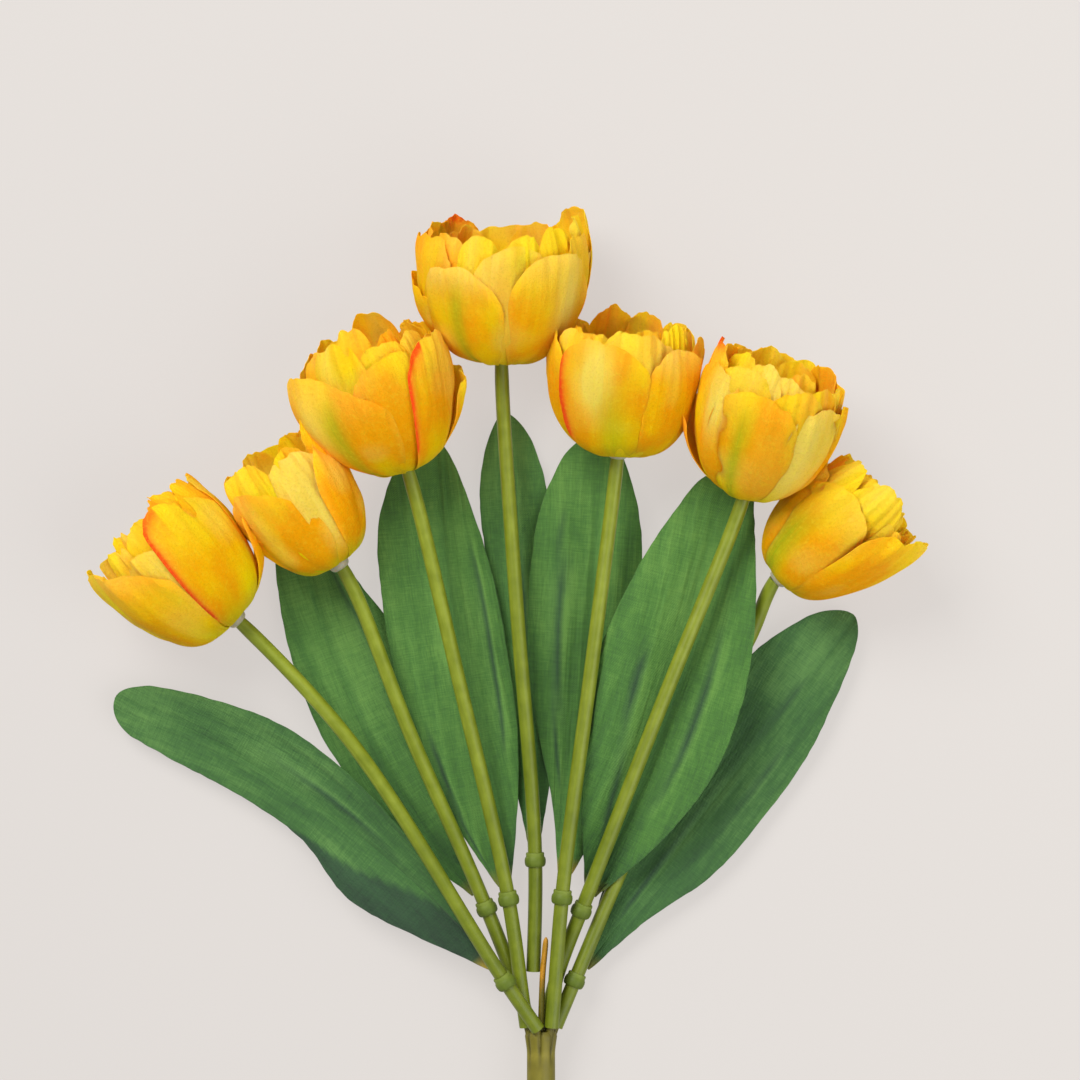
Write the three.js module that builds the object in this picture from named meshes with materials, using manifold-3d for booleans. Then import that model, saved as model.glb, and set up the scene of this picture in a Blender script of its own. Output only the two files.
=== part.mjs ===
// A bunch of seven artificial double tulips, laid on its back and fanned out over a flat surface.
// Millimetres, +Z up. The flowers point along +Y, the trunk's cut end along -Y, and the lowest point is at Z 0.
// The bunch is planned about the crown, the top of the trunk, where the seven stubs of the moulded trunk begin.
// Each flower tube is pushed over a stub. A leaf clips round the tube with a ring, and the flower is stacked
// on the peg at the tube's upper end: collar, three whorls of fabric petals, then the core that holds them.
import * as THREE from "three";
import { mergeVertices } from "three/addons/utils/BufferGeometryUtils.js";
import Module from "manifold-3d";

const wasm = await Module();
wasm.setup();

// ---- Driving dimensions, in millimetres and degrees ----
const GAP = 0.3; // clearance between separate pieces

const REACH = 224.4; // from the crown to the base of the farthest flower
const TRUNK_R = 4.7;
const TRUNK_LENGTH = 78;
const TRUNK_SIDES = 16;

const TUBE_R = 2.35;
const TUBE_SIDES = 8;
const TUBE_STEPS = 14;
const ROOT_INSET = 0.35; // how much thinner than its tube a stub's root is
const STUB_R = 0.95; // the thin part of a stub, inside its tube
const STUB_PLAY = 0.45; // between a stub and its tube's bore
const STUB_LENGTH = 30;
const ROOT_DEPTH = 9; // how far down the trunk a stub begins
const FOOT_RISE = 1.5; // from the crown to the tubes' cut ends
const FOOT_PLAY = 1.2; // from a stub's thick root to its tube's cut end
const PEG_R = 0.95; // the pin at a tube's upper end

const RING_WALL = 0.8;
const RING_PLAY = 0.55; // between a ring and the tube that it clips round
const RING_HEIGHT = 4.6;
const PETIOLE = 8; // from the ring's middle to the blade
const RIB_R = 0.6; // the moulded rib along a leaf's back
const RIB_PLAY = 0.45; // between the rib and the leaf
const RIB_SHARE = 0.5; // how much of the leaf's length the rib runs

const FABRIC = 0.8; // thickness of petals and leaves
const LEAF_PAST = 3; // how far a leaf's tip reaches past the base of its tube's flower
const LEAF_WIDTH = 39;
const LEAF_STEPS = 10;
const LEAF_STRIPS = 4;

const FLOWER_R = 24;
const FLOWER_LENGTH = 49;
const FLOWER_HALF = Math.max(FLOWER_R, FLOWER_LENGTH / 2); // half its larger extent, which spaces the fan
const COLLAR_R = 3.5;
const COLLAR_HEIGHT = 2.2;
const HUB_R = 3.3; // the disc that joins a whorl's petals
const HUB_LAP = 0.5; // how far in from the disc's rim a petal begins
const LAYER = FABRIC + 2 * GAP; // from one hub to the next
const CLOSED_AT = 122; // degrees of the egg's profile, from its bottom, at the flower's full length
const CORE_R = 4;
const CORE_WALL = 0.9; // round the peg, at the core's foot
const CORE_HEIGHT = 14;
const NECK = 5; // length of tube that follows the flower's own axis

// Whorls from the outside in: how many petals, half of the angle that each spans, how many layers in from the
// flower's own egg, the profile's angle at the tips, and the grid along and across a petal.
const WHORLS = [
  { name: "outer", petals: 3, half: 50, layersIn: 0, tip: 112, turn: 0, steps: 5, strips: 4 },
  { name: "middle", petals: 3, half: 48, layersIn: 1.75, tip: 122, turn: 60, steps: 5, strips: 4 },
  { name: "inner", petals: 5, half: 30, layersIn: 5, tip: 116, turn: 20, steps: 4, strips: 2 },
];

// One row for each stem, from the left. Places across the fan count FLOWER_HALF and heights count TUBE_R, so
// that the flowers stay clear of their neighbours and the layers stay clear of each other.
//   slot: the tube's place round the crown, or -1 for the tube that has come off its stub
//   side: from the fan's middle to the flower's tip, along the arc; drop: how much nearer the crown than
//     the farthest flower its base is
//   below, bends: [distance, degrees, height] of the tube's turns under its leaf's ring and over it, with
//     distance in millimetres under the ring and as a share of the way over it
//   ring: [distance in millimetres, degrees, height] of the leaf's ring
//   turn: degrees from the tube's direction to the flower's; rise: degrees that the flower points up
//   lift: how high the flower's underside lies; across, long: its radius and length against the usual ones
//   spin: where its first outer petal stands; flare: how far each outer petal's tip swings out
//   leaf: turn: degrees from the tube's direction to the leaf's, at its base and its tip; past: how far its tip
//     reaches beyond the usual; wide: its width against the usual one; height: at base, middle and tip;
//     cup: how far its edges rise; roll: degrees that its right side tips up; widest: above 1 for a leaf that
//     is widest past its middle
const STEMS = [
  {
    slot: 0, side: -5.63, drop: 2.237, below: [], ring: [20.8, 1, 7.5], bends: [[0.674, 3.3, 8.9]],
    turn: -11, rise: 10, lift: 0.1, across: 0.98, long: 0.94, spin: 100, flare: [0, 1, 2],
    leaf: { turn: [-4, -34], past: 8, wide: 0.87, height: [4.9, 2.3, 1.5], cup: 2, roll: 6, widest: 1.15 },
  },
  {
    slot: 4, side: -3.58, drop: 2.282, below: [], ring: [45.4, -0.6, 3.8], bends: [[0.653, -0.5, 6]],
    turn: -11, rise: 8, lift: 1, across: 0.82, long: 0.96, spin: 60, flare: [0, 0, 0],
    leaf: { turn: [-18, 14], past: 15, wide: 0.97, height: [1.7, 0.9, 0.6], cup: 0.7, roll: 0, widest: 1.3 },
  },
  {
    slot: 5, side: -2.29, drop: 1.294, below: [], ring: [45.8, -0.2, 5.4], bends: [[0.638, 0.2, 8]],
    turn: -6, rise: 14, lift: 2.8, across: 0.98, long: 1.02, spin: 75, flare: [0, 0, 2],
    leaf: { turn: [-0.6, 9.4], past: 1, wide: 1, height: [3.5, 2.4, 1.8], cup: 0.5, roll: 0, widest: 1.15 },
  },
  {
    slot: -1, side: -0.655, drop: 0, below: [], ring: [58.5, 1.6, 3.75], bends: [[0.624, 0.1, 6]],
    turn: 4.4, rise: 17, lift: 0.5, across: 1.04, long: 1.02, spin: 115, flare: [0, 2, 1],
    leaf: { turn: [-3.6, 2.4], past: -20, wide: 0.7, height: [1.9, 0.85, 0.7], cup: 0.5, roll: 0, widest: 1.9 },
  },
  {
    slot: 1, side: 1.3, drop: 1.273, below: [], ring: [46.5, 1.1, 6.2], bends: [[0.626, 0.3, 8.5]],
    turn: -2.5, rise: 14, lift: 2.3, across: 1, long: 1, spin: 90, flare: [0, 0, 0],
    leaf: { turn: [-0.5, -4.5], past: 0, wide: 1, height: [2.8, 1.7, 1.3], cup: 1, roll: 0, widest: 1.25 },
  },
  {
    slot: 3, side: 3.53, drop: 1.347, below: [[17.6, -5.8, 1.45]], ring: [43.1, -2.2, 4.5],
    bends: [[0.632, -0.5, 8.5]],
    turn: -5.3, rise: 22, lift: 5.9, across: 0.98, long: 1.02, spin: 85, flare: [0, 2, 0],
    leaf: { turn: [6.7, -9.3], past: -1, wide: 1.15, height: [3.4, 5.8, 5.3], cup: 4.5, roll: 0, widest: 1.15 },
  },
  {
    slot: 2, side: 4.27, drop: 2.233, below: [], ring: [19.8, 6.5, 2.9],
    bends: [[0.49, -1.5, 2.5], [0.76, 0.1, 2.8], [0.925, 0.6, 2.9]],
    turn: 22.8, rise: 14, lift: 0.3, across: 0.83, long: 1, spin: 110, flare: [0, 1.5, 0],
    leaf: { turn: [10.8, 8.8], past: -2, wide: 0.9, height: [1.4, 0.8, 1.2], cup: 0.6, roll: 0, widest: 1.15 },
  },
];
const FREE_STUB = [[0.6, 14], [1.7, 32]]; // plan of the bare stub that the fourth tube has come off
const FREE_FOOT = [-2.6, 20]; // plan of that tube's loose end
const FREE_FOOT_UNDER = 1.2; // how far that loose end lies below the crown's axis

// ---- Materials ----
const plastic = (color, roughness) => new THREE.MeshStandardMaterial({ color, roughness, metalness: 0 });
const MATERIALS = {
  petal: plastic(0xf7b50c, 0.8),
  innerPetal: plastic(0xf0a010, 0.8),
  leaf: plastic(0x2f6b35, 0.75),
  stem: plastic(0x748a22, 0.45),
  ring: plastic(0x66803c, 0.55),
  trunk: plastic(0x7d762c, 0.6),
  collar: plastic(0xb9b49a, 0.4),
  core: plastic(0xb8a021, 0.7),
};

// ---- Solids ----
const rad = THREE.MathUtils.degToRad;
const sum = (a, b) => new THREE.Vector3().addVectors(a, b);

// A closed three.js geometry as a manifold-3d solid.
function solidOf(geometry) {
  const bare = geometry.index ? geometry.toNonIndexed() : geometry.clone();
  bare.deleteAttribute("normal");
  bare.deleteAttribute("uv");
  const merged = mergeVertices(bare, 1e-4);
  return new wasm.Manifold(
    new wasm.Mesh({
      numProp: 3,
      vertProperties: merged.attributes.position.array,
      triVerts: new Uint32Array(merged.index.array),
    }),
  );
}

function geometryOf(solid) {
  const mesh = solid.getMesh();
  const geometry = new THREE.BufferGeometry();
  geometry.setAttribute("position", new THREE.BufferAttribute(new Float32Array(mesh.vertProperties), 3));
  geometry.setIndex(new THREE.BufferAttribute(new Uint32Array(mesh.triVerts), 1));
  geometry.computeVertexNormals();
  return geometry;
}

// A circle's section with a given number of sides.
function section(radius, sides) {
  const points = [];
  for (let i = 0; i < sides; i++) {
    const a = (i / sides) * 2 * Math.PI;
    points.push(new THREE.Vector2(radius * Math.cos(a), radius * Math.sin(a)));
  }
  return new THREE.Shape(points);
}

// A curve whose even steps fall on its own points, so that a rod along it turns exactly there.
class PointwiseCurve extends THREE.CatmullRomCurve3 {
  getUtoTmapping(u) {
    return u;
  }
}

// A rod that follows a curve.
function rod(curve, radius, sides, steps) {
  const options = { steps, extrudePath: curve, bevelEnabled: false };
  return new THREE.ExtrudeGeometry(section(radius, sides), options);
}

// The stretch of a curve from one length along it to another.
function stretch(curve, from, to, pieces) {
  const whole = curve.getLength();
  const points = [];
  for (let i = 0; i <= pieces; i++) {
    const at = from + ((to - from) * i) / pieces;
    points.push(curve.getPointAt(THREE.MathUtils.clamp(at / whole, 0, 1)));
  }
  return new THREE.CatmullRomCurve3(points, false, "centripetal");
}

// A ring or cap turned about +Z. The profile lists [radius, height], anticlockwise with the radius to the right.
function turned(profile, segments) {
  const points = profile.map(([r, z]) => new THREE.Vector2(r, z));
  return new THREE.LatheGeometry(points, segments).rotateX(Math.PI / 2);
}

// A thin solid on both sides of a surface: place(u, v) with u from 0 to 1 and v from -1 to 1.
function sheet(place, steps, strips, thickness) {
  const small = 1e-3;
  const positions = [];
  const index = (side, i, j) => (side * (steps + 1) + i) * (strips + 1) + j;
  for (const side of [0, 1]) {
    for (let i = 0; i <= steps; i++) {
      for (let j = 0; j <= strips; j++) {
        const u = i / steps;
        const v = (2 * j) / strips - 1;
        const along = place(Math.min(u + small, 1), v).sub(place(Math.max(u - small, 0), v));
        const across = place(u, Math.min(v + small, 1)).sub(place(u, Math.max(v - small, -1)));
        const normal = new THREE.Vector3().crossVectors(across, along).normalize();
        const point = place(u, v).addScaledVector(normal, (side - 0.5) * thickness);
        positions.push(point.x, point.y, point.z);
      }
    }
  }
  const faces = [];
  const quad = (a, b, c, d) => faces.push(a, b, c, a, c, d);
  for (let i = 0; i < steps; i++) {
    for (let j = 0; j < strips; j++) {
      quad(index(1, i, j), index(1, i, j + 1), index(1, i + 1, j + 1), index(1, i + 1, j));
      quad(index(0, i, j), index(0, i + 1, j), index(0, i + 1, j + 1), index(0, i, j + 1));
    }
    quad(index(0, i, 0), index(1, i, 0), index(1, i + 1, 0), index(0, i + 1, 0));
    quad(index(1, i, strips), index(0, i, strips), index(0, i + 1, strips), index(1, i + 1, strips));
  }
  for (let j = 0; j < strips; j++) {
    quad(index(1, 0, j), index(0, 0, j), index(0, 0, j + 1), index(1, 0, j + 1));
    quad(index(0, steps, j), index(1, steps, j), index(1, steps, j + 1), index(0, steps, j + 1));
  }
  const geometry = new THREE.BufferGeometry();
  geometry.setAttribute("position", new THREE.Float32BufferAttribute(positions, 3));
  geometry.setIndex(faces);
  return geometry;
}

const bunch = new THREE.Group();
function add(name, geometry, material, parent = bunch) {
  const mesh = new THREE.Mesh(geometry, material);
  mesh.name = name;
  parent.add(mesh);
  return mesh;
}

// ---- The crown, where the stubs leave the trunk ----
// Six tubes stand round the seventh, so their spacing is one tube and its clearance.
const TUBE_PITCH = 2 * TUBE_R + GAP;
const CROWN_HEIGHT = TUBE_PITCH + TUBE_R + GAP; // the lowest tube clears the surface
const crownPoint = (x, y, z) => new THREE.Vector3(x, y, CROWN_HEIGHT + z);

function slotAt(slot, radius, y) {
  const angle = rad(105 - 60 * slot);
  return crownPoint(radius * Math.cos(angle), y, radius * Math.sin(angle));
}

// A direction in degrees from +Y towards +X, with degrees upwards.
function heading(degrees, rise = 0) {
  const lean = rad(degrees);
  const flat = Math.cos(rad(rise));
  return new THREE.Vector3(Math.sin(lean) * flat, Math.cos(lean) * flat, Math.sin(rad(rise)));
}

// The egg that a flower's outer petals lie on, in length.
const eggOf = (stem) => (2 * stem.long * FLOWER_LENGTH) / (1 - Math.cos(rad(CLOSED_AT)));

// How high a flower's base is, for its underside to lie at its lift.
function baseHeight(stem) {
  const half = eggOf(stem) / 2;
  const rise = rad(stem.rise);
  const under = Math.hypot(half * Math.sin(rise), stem.across * FLOWER_R * Math.cos(rise));
  return stem.lift * TUBE_R + under - (COLLAR_HEIGHT + half) * Math.sin(rise);
}

// The route of a tube and its stub together, and the leaf's and the flower's places on it.
function routeOf(stem) {
  const out = REACH - stem.drop * FLOWER_HALF;
  const tip = out + 2 * FLOWER_HALF;
  const direction = THREE.MathUtils.radToDeg((stem.side * FLOWER_HALF) / tip);
  const at = (distance, turn, height) =>
    heading(direction + turn).multiplyScalar(distance).setZ(height * TUBE_R);
  const axis = heading(direction + stem.turn, stem.rise);
  const base = at(out, 0, baseHeight(stem) / TUBE_R);
  const neck = base.clone().addScaledVector(axis, -NECK);
  const loose = stem.slot < 0;
  const foot = loose
    ? crownPoint(FREE_FOOT[0], FREE_FOOT[1], -FREE_FOOT_UNDER)
    : slotAt(stem.slot, TUBE_PITCH, FOOT_RISE);
  const root = loose ? [] : [slotAt(stem.slot, TUBE_R, -ROOT_DEPTH)];
  const ring = at(...stem.ring);
  const below = stem.below.map((bend) => at(...bend));
  const above = stem.bends.map(([share, turn, height]) => at(share * out, turn, height));
  const points = [...root, foot, ...below, ring, ...above, neck, base];
  const curve = new THREE.CatmullRomCurve3(points, false, "centripetal");
  const rootLength = loose ? 0 : foot.distanceTo(root[0]);
  const leafLength = out - stem.ring[0] - PETIOLE + LEAF_PAST + stem.leaf.past;
  return { curve, direction, ring, axis, base, rootLength, loose, leafLength };
}

function stubSolids(route) {
  const { curve, rootLength } = route;
  const shoulder = rootLength - FOOT_PLAY;
  return [
    solidOf(rod(stretch(curve, 0, shoulder, 4), TUBE_R - ROOT_INSET, TUBE_SIDES, 3)),
    solidOf(rod(stretch(curve, shoulder - 1, rootLength + STUB_LENGTH, 10), STUB_R, 6, 8)),
  ];
}

function makeTrunk(routes) {
  const far = new THREE.Vector3(0, -TRUNK_LENGTH, TRUNK_R);
  const axis = new THREE.LineCurve3(far, crownPoint(0, 0, 0));
  const free = [
    crownPoint(0, -ROOT_DEPTH, 0),
    ...FREE_STUB.map(([x, y], i) => crownPoint(x, y, 1 + 3.2 * i)),
  ];
  const freeStub = new THREE.CatmullRomCurve3(free, false, "centripetal");
  let trunk = solidOf(rod(axis, TRUNK_R, TRUNK_SIDES, 1));
  trunk = trunk.add(solidOf(rod(freeStub, STUB_R, 6, 8)));
  for (const route of routes) {
    if (!route.loose) stubSolids(route).forEach((part) => (trunk = trunk.add(part)));
  }
  add("trunk", geometryOf(trunk), MATERIALS.trunk);
}

// ---- Tube with its blind bore for the stub and its peg for the flower ----
function stackHeight() {
  return COLLAR_HEIGHT + WHORLS.length * LAYER;
}

function makeStem(number, route) {
  const { curve, rootLength, axis, base } = route;
  // The last step of the tube is its neck, so that its end stands square to the flower's axis.
  const neckAt = curve.getLength() - NECK;
  const turns = [...stretch(curve, rootLength, neckAt, TUBE_STEPS - 1).points, base];
  const path = new PointwiseCurve(turns, false, "centripetal");
  const tube = solidOf(rod(path, TUBE_R, TUBE_SIDES, TUBE_STEPS));
  const bore = stretch(curve, rootLength, rootLength + STUB_LENGTH + 2 * GAP, 10);
  const start = bore.getPoint(0);
  const mouth = start.clone().addScaledVector(bore.getTangent(0), -1);
  const boreCurve = new THREE.CatmullRomCurve3([mouth, ...bore.points], false, "centripetal");
  const peg = new THREE.LineCurve3(
    base.clone().addScaledVector(axis, -2),
    base.clone().addScaledVector(axis, stackHeight() + CORE_HEIGHT / 3),
  );
  const solid = tube
    .subtract(solidOf(rod(boreCurve, STUB_R + STUB_PLAY, 6, 8)))
    .add(solidOf(rod(peg, PEG_R, 6, 1)));
  add(`stem_${number}`, geometryOf(solid), MATERIALS.stem);
}

// ---- Leaf: a fabric blade, and a moulded rib whose ring clips round the tube ----
const RING_R = TUBE_R + RING_PLAY + RING_WALL;

// The blade's middle surface. Its midline turns evenly from one lean to another, as its height passes through
// three values; cup lifts the two edges and roll lifts the right one.
function leafSurface(leaf, direction, start, length) {
  const point = start.clone();
  const midline = [point.clone()];
  const leanAt = (share) => rad(direction + THREE.MathUtils.lerp(leaf.turn[0], leaf.turn[1], share));
  const step = length / (LEAF_STEPS * 4);
  const width = leaf.wide * LEAF_WIDTH;
  for (let i = 0; i < LEAF_STEPS * 4; i++) {
    const lean = leanAt((i + 0.5) / (LEAF_STEPS * 4));
    point.add(new THREE.Vector3(Math.sin(lean) * step, Math.cos(lean) * step, 0));
    midline.push(point.clone());
  }
  const [z0, z1, z2] = leaf.height.map((height) => height * TUBE_R);
  const heightAt = (s) => z0 * (1 - s) * (1 - 2 * s) + z1 * 4 * s * (1 - s) + z2 * s * (2 * s - 1);
  const widthAt = (s) => 0.06 + 0.94 * Math.sin(Math.PI * Math.pow(0.02 + 0.965 * s, leaf.widest)) ** 0.8;
  return (s, v) => {
    const at = s * (midline.length - 1);
    const i = Math.min(Math.floor(at), midline.length - 2);
    const middle = new THREE.Vector3().lerpVectors(midline[i], midline[i + 1], at - i);
    const lean = leanAt(s);
    const share = widthAt(s);
    const half = 0.5 * width * share;
    const lift = leaf.cup * v * v * share + half * v * Math.sin(rad(leaf.roll));
    return new THREE.Vector3(
      middle.x + Math.cos(lean) * half * v,
      middle.y - Math.sin(lean) * half * v,
      heightAt(s) + lift,
    );
  };
}

function makeLeaf(number, stem, route) {
  // The tube's own direction where the ring sits.
  let nearest = 0;
  for (let t = 0; t <= 1; t += 0.002) {
    const here = route.curve.getPointAt(t).distanceTo(route.ring);
    if (here < route.curve.getPointAt(nearest).distanceTo(route.ring)) nearest = t;
  }
  const seat = route.curve.getPointAt(nearest);
  const tangent = route.curve.getTangentAt(nearest);
  const inner = TUBE_R + RING_PLAY;
  const half = RING_HEIGHT / 2;
  const ring = turned(
    [
      [inner, -half], [RING_R - 0.4, -half], [RING_R, -half * 0.4],
      [RING_R, half * 0.4], [RING_R - 0.4, half], [inner, half], [inner, -half],
    ],
    10,
  );
  ring.applyQuaternion(new THREE.Quaternion().setFromUnitVectors(new THREE.Vector3(0, 0, 1), tangent));
  ring.translate(seat.x, seat.y, seat.z);

  const forward = heading(route.direction + stem.leaf.turn[0]);
  const start = seat.clone().addScaledVector(forward, PETIOLE);
  const surface = leafSurface(stem.leaf, route.direction, start, route.leafLength);
  const blade = sheet(surface, LEAF_STEPS, LEAF_STRIPS, FABRIC);
  add(`leaf_${number}_blade`, blade, MATERIALS.leaf);

  // The rib starts in the ring's lower wall and runs just under the blade.
  const under = FABRIC / 2 + RIB_PLAY + RIB_R;
  const below = (point, depth) => point.clone().add(new THREE.Vector3(0, 0, -depth));
  const bladeStart = surface(0, 0);
  const points = [
    below(seat, TUBE_R + RING_PLAY + RIB_R),
    below(bladeStart.clone().addScaledVector(forward, -PETIOLE / 4), under),
  ];
  for (let i = 0; i <= 5; i++) {
    points.push(below(surface((RIB_SHARE * i) / 5, 0), under));
  }
  const rib = new PointwiseCurve(points, false, "centripetal");
  const solid = solidOf(ring).add(solidOf(rod(rib, RIB_R, 6, points.length - 1)));
  add(`leaf_${number}_rib`, geometryOf(solid), MATERIALS.ring);
}

// ---- Flower ----
// A petal lies on an egg: the angle of its profile runs up from the flower's axis to the petal's tip.
function petalSurface({ across, egg, seat, facing, half, tip, flare }) {
  const from = Math.asin((HUB_R - HUB_LAP) / across);
  return (u, v) => {
    const profile = THREE.MathUtils.lerp(from, rad(tip), u ** 1.15);
    const taper = u < 0.5 ? 1 : Math.sqrt(1 - 0.985 * ((u - 0.5) / 0.5) ** 2.2);
    const angle = rad(facing + half * taper * v);
    const radius = across * Math.sin(profile) + flare * u * u;
    const height = seat + (egg * (Math.cos(from) - Math.cos(profile))) / 2;
    return new THREE.Vector3(radius * Math.cos(angle), radius * Math.sin(angle), height);
  };
}

function makeWhorl(stem, whorl, level) {
  const seat = COLLAR_HEIGHT + GAP + FABRIC / 2 + level * LAYER;
  const hole = PEG_R + GAP;
  const low = seat - FABRIC / 2;
  const high = seat + FABRIC / 2;
  let solid = solidOf(turned([[hole, low], [HUB_R, low], [HUB_R, high], [hole, high], [hole, low]], 10));
  for (let i = 0; i < whorl.petals; i++) {
    const surface = petalSurface({
      across: stem.across * FLOWER_R - whorl.layersIn * LAYER,
      egg: eggOf(stem) - 2 * level * LAYER,
      seat,
      facing: stem.spin + whorl.turn + (360 / whorl.petals) * i,
      half: whorl.half,
      tip: whorl.tip,
      flare: level === 0 ? stem.flare[i] : 0,
    });
    solid = solid.add(solidOf(sheet(surface, whorl.steps, whorl.strips, FABRIC)));
  }
  return geometryOf(solid);
}

function makeFlower(number, stem, route) {
  const flower = new THREE.Group();
  flower.position.copy(route.base);
  // Local +Z is the flower's axis and local +Y its upper side; turns about the axis run from left over the top.
  const left = new THREE.Vector3().crossVectors(new THREE.Vector3(0, 0, 1), route.axis).normalize();
  const upper = new THREE.Vector3().crossVectors(route.axis, left);
  flower.quaternion.setFromRotationMatrix(new THREE.Matrix4().makeBasis(left, upper, route.axis));
  bunch.add(flower);

  const hole = PEG_R + GAP;
  const collar = turned(
    [
      [hole, GAP], [COLLAR_R * 0.8, GAP], [COLLAR_R, COLLAR_HEIGHT * 0.6],
      [COLLAR_R, COLLAR_HEIGHT], [hole, COLLAR_HEIGHT], [hole, GAP],
    ],
    10,
  );
  add(`flower_${number}_collar`, collar, MATERIALS.collar, flower);

  WHORLS.forEach((whorl, level) => {
    const material = level < 2 ? MATERIALS.petal : MATERIALS.innerPetal;
    add(`flower_${number}_${whorl.name}_petals`, makeWhorl(stem, whorl, level), material, flower);
  });

  const low = stackHeight() + GAP;
  const top = low + CORE_HEIGHT;
  const bore = low + CORE_HEIGHT / 3 + GAP;
  const core = turned(
    [
      [0, bore], [hole, bore], [hole, low], [hole + CORE_WALL, low],
      [CORE_R, low + CORE_HEIGHT * 0.5], [CORE_R * 0.7, low + CORE_HEIGHT * 0.85], [0, top],
    ],
    10,
  );
  add(`flower_${number}_core`, core, MATERIALS.core, flower);
}

// ---- The whole bunch ----
const routes = STEMS.map(routeOf);
makeTrunk(routes);
STEMS.forEach((stem, i) => {
  makeStem(i + 1, routes[i]);
  makeLeaf(i + 1, stem, routes[i]);
  makeFlower(i + 1, stem, routes[i]);
});

// The origin is the middle of the bunch's footprint, on the surface.
const box = new THREE.Box3().setFromObject(bunch, true);
const centre = box.getCenter(new THREE.Vector3());
bunch.position.set(-centre.x, -centre.y, -box.min.z);

export default bunch;
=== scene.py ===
"""Looks of a bunch of seven artificial double tulips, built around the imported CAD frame.

Units in the tables and helpers are millimetres; a mesh is scaled to metres when it is made.
"""
import math

import bpy
import numpy as np
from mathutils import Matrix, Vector
from mathutils.bvhtree import BVHTree


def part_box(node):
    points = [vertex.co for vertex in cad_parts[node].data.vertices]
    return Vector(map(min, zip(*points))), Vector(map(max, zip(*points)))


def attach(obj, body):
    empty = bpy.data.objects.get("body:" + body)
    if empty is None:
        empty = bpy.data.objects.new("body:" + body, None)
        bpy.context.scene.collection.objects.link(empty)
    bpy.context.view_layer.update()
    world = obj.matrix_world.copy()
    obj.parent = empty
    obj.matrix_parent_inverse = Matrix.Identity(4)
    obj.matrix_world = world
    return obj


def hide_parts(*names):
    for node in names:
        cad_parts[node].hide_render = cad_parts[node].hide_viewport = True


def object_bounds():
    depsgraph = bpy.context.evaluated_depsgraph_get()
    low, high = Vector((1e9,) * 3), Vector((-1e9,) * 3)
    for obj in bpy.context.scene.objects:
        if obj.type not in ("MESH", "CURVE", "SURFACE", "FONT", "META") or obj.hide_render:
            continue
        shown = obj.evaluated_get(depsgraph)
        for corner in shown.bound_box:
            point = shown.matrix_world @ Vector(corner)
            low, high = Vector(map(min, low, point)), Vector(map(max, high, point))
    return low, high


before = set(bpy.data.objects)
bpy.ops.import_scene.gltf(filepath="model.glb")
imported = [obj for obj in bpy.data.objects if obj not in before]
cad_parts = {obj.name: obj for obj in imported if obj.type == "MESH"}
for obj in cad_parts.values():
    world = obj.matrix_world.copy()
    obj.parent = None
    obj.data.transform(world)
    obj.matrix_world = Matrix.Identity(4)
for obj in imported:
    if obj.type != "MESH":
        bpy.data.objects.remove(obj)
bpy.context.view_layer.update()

MM = 0.001
FLOWERS = range(1, 8)
BARE = 4  # the stem whose tube has come off its stub
PETAL_THICKNESS = 0.28
LEAF_THICKNESS = 0.42
TUBE_R = 2.38
TUBE_BORE = 1.45
RIM_SHARE = 0.55  # a sheet's thickness at its rim against its middle
SHARP_FROM = 52  # degrees between faces from which an edge shows sharp
FULL = 1.0  # share of the full mesh resolution


def srgb(r, g, b):
    """A display colour, 0 to 255, as linear values with alpha."""
    linear = []
    for c in (r, g, b):
        c /= 255
        linear.append(c / 12.92 if c <= 0.04045 else ((c + 0.055) / 1.055) ** 2.4)
    return (*linear, 1.0)


def smooth(x, low=0.0, high=1.0):
    """0 below low, 1 above high and a soft step between."""
    t = np.clip((np.asarray(x, float) - low) / (high - low), 0, 1)
    return t * t * (3 - 2 * t)


def unit(v):
    v = np.asarray(v, float)
    return v / np.linalg.norm(v)


def points_of(node):
    """A CAD node's vertices in millimetres."""
    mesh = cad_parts[node].data
    co = np.zeros(len(mesh.vertices) * 3, np.float32)
    mesh.vertices.foreach_get("co", co)
    return co.reshape(-1, 3).astype(float) / MM


def edges_of(node):
    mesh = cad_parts[node].data
    pairs = np.zeros(len(mesh.edges) * 2, np.int32)
    mesh.edges.foreach_get("vertices", pairs)
    return pairs.reshape(-1, 2)


def slices(node, axis, offsets):
    """Where planes square to axis cut a node's edges: one array of points for each offset."""
    co, pairs = points_of(node), edges_of(node)
    depth = co @ axis
    a, b = depth[pairs[:, 0]], depth[pairs[:, 1]]
    cut = []
    for offset in offsets:
        hit = (a - offset) * (b - offset) < 0
        share = ((offset - a[hit]) / (b[hit] - a[hit]))[:, None]
        cut.append(co[pairs[hit, 0]] * (1 - share) + co[pairs[hit, 1]] * share)
    return cut


def centreline(node, axis, offsets):
    """The middle of a rod's outline at each offset along axis."""
    side = unit(np.cross(axis, [0, 0, 1]))
    up = np.cross(side, axis)
    line = []
    for offset, cut in zip(offsets, slices(node, axis, offsets)):
        x, z = cut @ side, cut @ up
        line.append(axis * offset + side * (x.min() + x.max()) / 2 + up * (z.min() + z.max()) / 2)
    return np.array(line)


def relax(line, times):
    """A polyline with its corners eased and its ends kept."""
    line = line.copy()
    for _ in range(times):
        line[1:-1] = 0.25 * line[:-2] + 0.5 * line[1:-1] + 0.25 * line[2:]
    return line


def resample(line, count):
    steps = np.r_[0, np.cumsum(np.linalg.norm(np.diff(line, axis=0), axis=1))]
    at = np.linspace(0, steps[-1], count)
    return np.stack([np.interp(at, steps, line[:, i]) for i in range(3)], 1)


# ---- Meshes ----
def on_both_sides(values):
    """A grid's attributes for the two sides of its closed sheet."""
    return {key: np.tile(np.asarray(value, float).ravel(), 2) for key, value in values.items()}


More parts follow.
